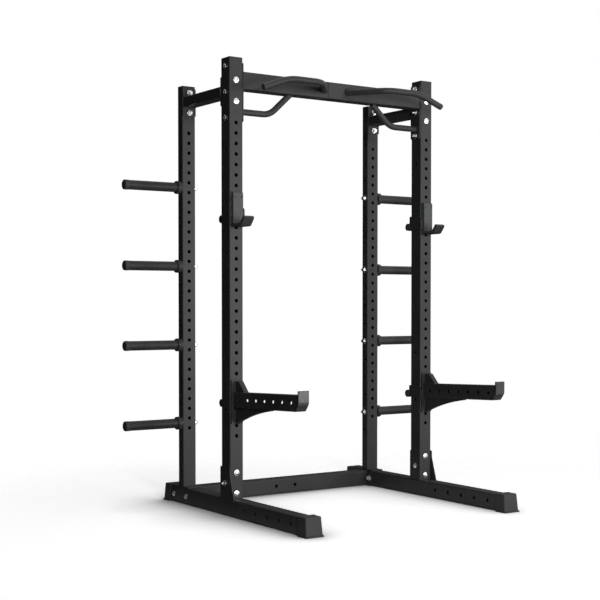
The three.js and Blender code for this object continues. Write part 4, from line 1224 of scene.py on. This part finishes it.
class RACK_OT_stage(bpy.types.Operator):
    """Set up the pale floor, the soft light and the camera"""
    bl_idname = "rack.stage"
    bl_label = "Stage"

    def execute(self, context):
        stage = context.scene.rack_stage
        self.floor(stage)
        self.world(stage)
        self.dark_cards()
        for name, (origin, target, width, height) in LIGHTS.items():
            self.light(name, origin, target, width, height, getattr(stage, f"{name}_power"))
        self.camera(stage)
        return {'FINISHED'}

    def floor(self, stage):
        """A white floor that keeps the rack's shadow, with a painted contact shadow right beside
        what stands on it.

        Its own glow is dimmed there by an occlusion test, as painted shade, deeper at the left than
        at the right to stand in for light from the right, and it fades into the background further out.
        """
        bm = bmesh.new()
        bmesh.ops.create_grid(bm, x_segments=1, y_segments=1, size=30.0, matrix=shifted(z=-0.0004))
        material = bpy.data.materials.new("pale_floor")
        material.use_nodes = True
        tree = material.node_tree
        paint = tree.nodes["Principled BSDF"]
        paint.inputs["Base Color"].default_value = (0.9, 0.9, 0.9, 1.0)
        paint.inputs["Roughness"].default_value = 0.9
        paint.inputs["Specular IOR Level"].default_value = 0.0
        spot = tree.nodes.new("ShaderNodeTexCoord").outputs["Object"]
        across = add_node(tree, "ShaderNodeSeparateXYZ", {0: spot}).outputs["X"]
        # Painted contact shadow: occlusion within 0.42 m, raised to a power that grows towards the left, dims
        # the floor's glow beside the rack
        open_sky = add_node(tree, "ShaderNodeAmbientOcclusion", None, {"samples": 16}, Distance=0.42)
        painted_contact_shadow = calculated(tree, 'POWER', open_sky.outputs["AO"], ramp(tree, across, 4.6, 1.6, -0.9, 0.7))
        shown = calculated(tree, 'MULTIPLY', seen_by_eye(tree), painted_contact_shadow)
        strength = ramp(tree, shown, 0.0, stage.glow)
        glow = add_node(tree, "ShaderNodeEmission", {"Strength": strength}, None, Color=WHITE)
        lit = add_node(tree, "ShaderNodeAddShader", {0: paint.outputs[0], 1: glow.outputs[0]})
        distance = add_node(tree, "ShaderNodeVectorMath", {0: spot}, {"operation": 'LENGTH'})
        fade = add_node(tree, "ShaderNodeMapRange", {"Value": distance.outputs["Value"]},
                        {"interpolation_type": 'SMOOTHSTEP'}, From_Min=1.0, From_Max=2.4)
        clear = tree.nodes.new("ShaderNodeBsdfTransparent")
        edge = add_node(tree, "ShaderNodeMixShader",
                        {0: fade.outputs["Result"], 1: lit.outputs[0], 2: clear.outputs[0]})
        tree.links.new(edge.outputs[0], tree.nodes["Material Output"].inputs["Surface"])
        show("floor", bm, material)

    def world(self, stage):
        """Faint light from all round, and white behind the rack."""
        world = bpy.data.worlds.new("studio")
        bpy.context.scene.world = world
        world.use_nodes = True
        tree = world.node_tree
        soft = tree.nodes["Background"]
        soft.inputs["Color"].default_value = WHITE
        soft.inputs["Strength"].default_value = stage.ambient
        white = add_node(tree, "ShaderNodeBackground", Color=WHITE, Strength=1.0)
        blend = add_node(tree, "ShaderNodeMixShader",
                         {0: seen_by_eye(tree), 1: soft.outputs[0], 2: white.outputs[0]})
        tree.links.new(blend.outputs[0], tree.nodes["World Output"].inputs["Surface"])

    def dark_cards(self):
        """Dark cards under, behind and left of the rack that only shiny surfaces see: painted dark
        reflections.

        They make its flanks, tops and undersides read as black in reflection; no camera, diffuse or shadow
        ray sees them.
        """
        left, right, front, back, top, low, floor = -2.4, 8.0, -3.0, 5.0, 5.0, -0.01, 0.001
        cards = [
            [(left, front, low), (left, back, low), (left, back, top), (left, front, top)],
            [(left, back, low), (right, back, low), (right, back, top), (left, back, top)],
        ]
        for start, end in ((left, -0.70), (-0.55, 0.25), (0.55, right)):
            cards.append([(start, -0.9, floor), (end, -0.9, floor), (end, back, floor), (start, back, floor)])
        bm = bmesh.new()
        for corners in cards:
            bm.faces.new([bm.verts.new(corner) for corner in corners])
        material = bpy.data.materials.new("card_black")
        material.use_nodes = True
        shader = material.node_tree.nodes["Principled BSDF"]
        shader.inputs["Base Color"].default_value = (0.01, 0.01, 0.01, 1.0)
        card = show("dark_cards", bm, material)
        card.visible_camera = False
        card.visible_diffuse = False
        card.visible_shadow = False
        card.visible_transmission = False

    def light(self, name, origin, target, width, height, power):
        """A rectangular light that faces its target; the back one isn't mirrored in the rack."""
        data = bpy.data.lights.new(f"{name}_light", 'AREA')
        data.shape = 'RECTANGLE'
        data.size = width
        data.size_y = height
        data.energy = power
        lamp = bpy.data.objects.new(f"{name}_light", data)
        bpy.context.scene.collection.objects.link(lamp)
        lamp.location = origin
        lamp.rotation_euler = (Vector(target) - Vector(origin)).to_track_quat('-Z', 'Y').to_euler()
        lamp.visible_glossy = name != "back"

    def camera(self, stage):
        """The camera where the photograph was taken from."""
        data = bpy.data.cameras.new("camera")
        data.lens = stage.lens
        data.sensor_width = 36.0
        data.sensor_fit = 'HORIZONTAL'
        data.shift_y = stage.rise
        data.clip_end = 100.0
        camera = bpy.data.objects.new("camera", data)
        bpy.context.scene.collection.objects.link(camera)
        camera.location = CAMERA_PLACE
        camera.rotation_euler = (math.radians(90.0) + stage.tilt, 0.0, -stage.bearing)
        bpy.context.scene.camera = camera


# Add-on

OPERATORS = (
    RACK_OT_finishes,
    RACK_OT_stage,
    RACK_OT_front_uprights,
    RACK_OT_rear_uprights,
    RACK_OT_upright_caps,
    RACK_OT_base_rails,
    RACK_OT_feet,
    RACK_OT_rear_crossmember,
    RACK_OT_side_crossmembers,
    RACK_OT_beam,
    RACK_OT_grips,
    RACK_OT_storage_pegs,
    RACK_OT_bolts,
    RACK_OT_jcups,
    RACK_OT_spotter_arms,
)


class RACK_PT_panel(bpy.types.Panel):
    """Buttons for the pieces of the rack"""
    bl_idname = "RACK_PT_panel"
    bl_label = "Half Rack"
    bl_space_type = 'VIEW_3D'
    bl_region_type = 'UI'
    bl_category = "Half Rack"

    def draw(self, context):
        scene = context.scene
        for group in (scene.rack_sizes, scene.rack_colours, scene.rack_stage):
            box = self.layout.box()
            for name in group.bl_rna.properties.keys():
                if name not in {"rna_type", "name"}:
                    box.prop(group, name)
        for operator in OPERATORS:
            self.layout.operator(operator.bl_idname)


CLASSES = (RackSizes, RackColours, RackStage, *OPERATORS, RACK_PT_panel)


def register():
    """Adds the classes and their settings to Blender."""
    for cls in CLASSES:
        bpy.utils.register_class(cls)
    bpy.types.Scene.rack_sizes = PointerProperty(type=RackSizes)
    bpy.types.Scene.rack_colours = PointerProperty(type=RackColours)
    bpy.types.Scene.rack_stage = PointerProperty(type=RackStage)


def unregister():
    """Takes them out again."""
    del bpy.types.Scene.rack_stage
    del bpy.types.Scene.rack_colours
    del bpy.types.Scene.rack_sizes
    for cls in reversed(CLASSES):
        bpy.utils.unregister_class(cls)


def main():
    """Builds the whole rack."""
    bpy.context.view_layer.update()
    bpy.context.scene.view_settings.view_transform = 'Standard'
    register()
    bpy.ops.rack.finishes()
    bpy.ops.rack.stage()
    bpy.ops.rack.front_uprights()
    bpy.ops.rack.rear_uprights()
    bpy.ops.rack.upright_caps()
    bpy.ops.rack.base_rails()
    bpy.ops.rack.feet()
    bpy.ops.rack.rear_crossmember()
    bpy.ops.rack.side_crossmembers()
    bpy.ops.rack.beam()
    bpy.ops.rack.grips()
    bpy.ops.rack.storage_pegs()
    bpy.ops.rack.bolts()
    bpy.ops.rack.jcups()
    bpy.ops.rack.spotter_arms()


if __name__ == "__main__":
    main()
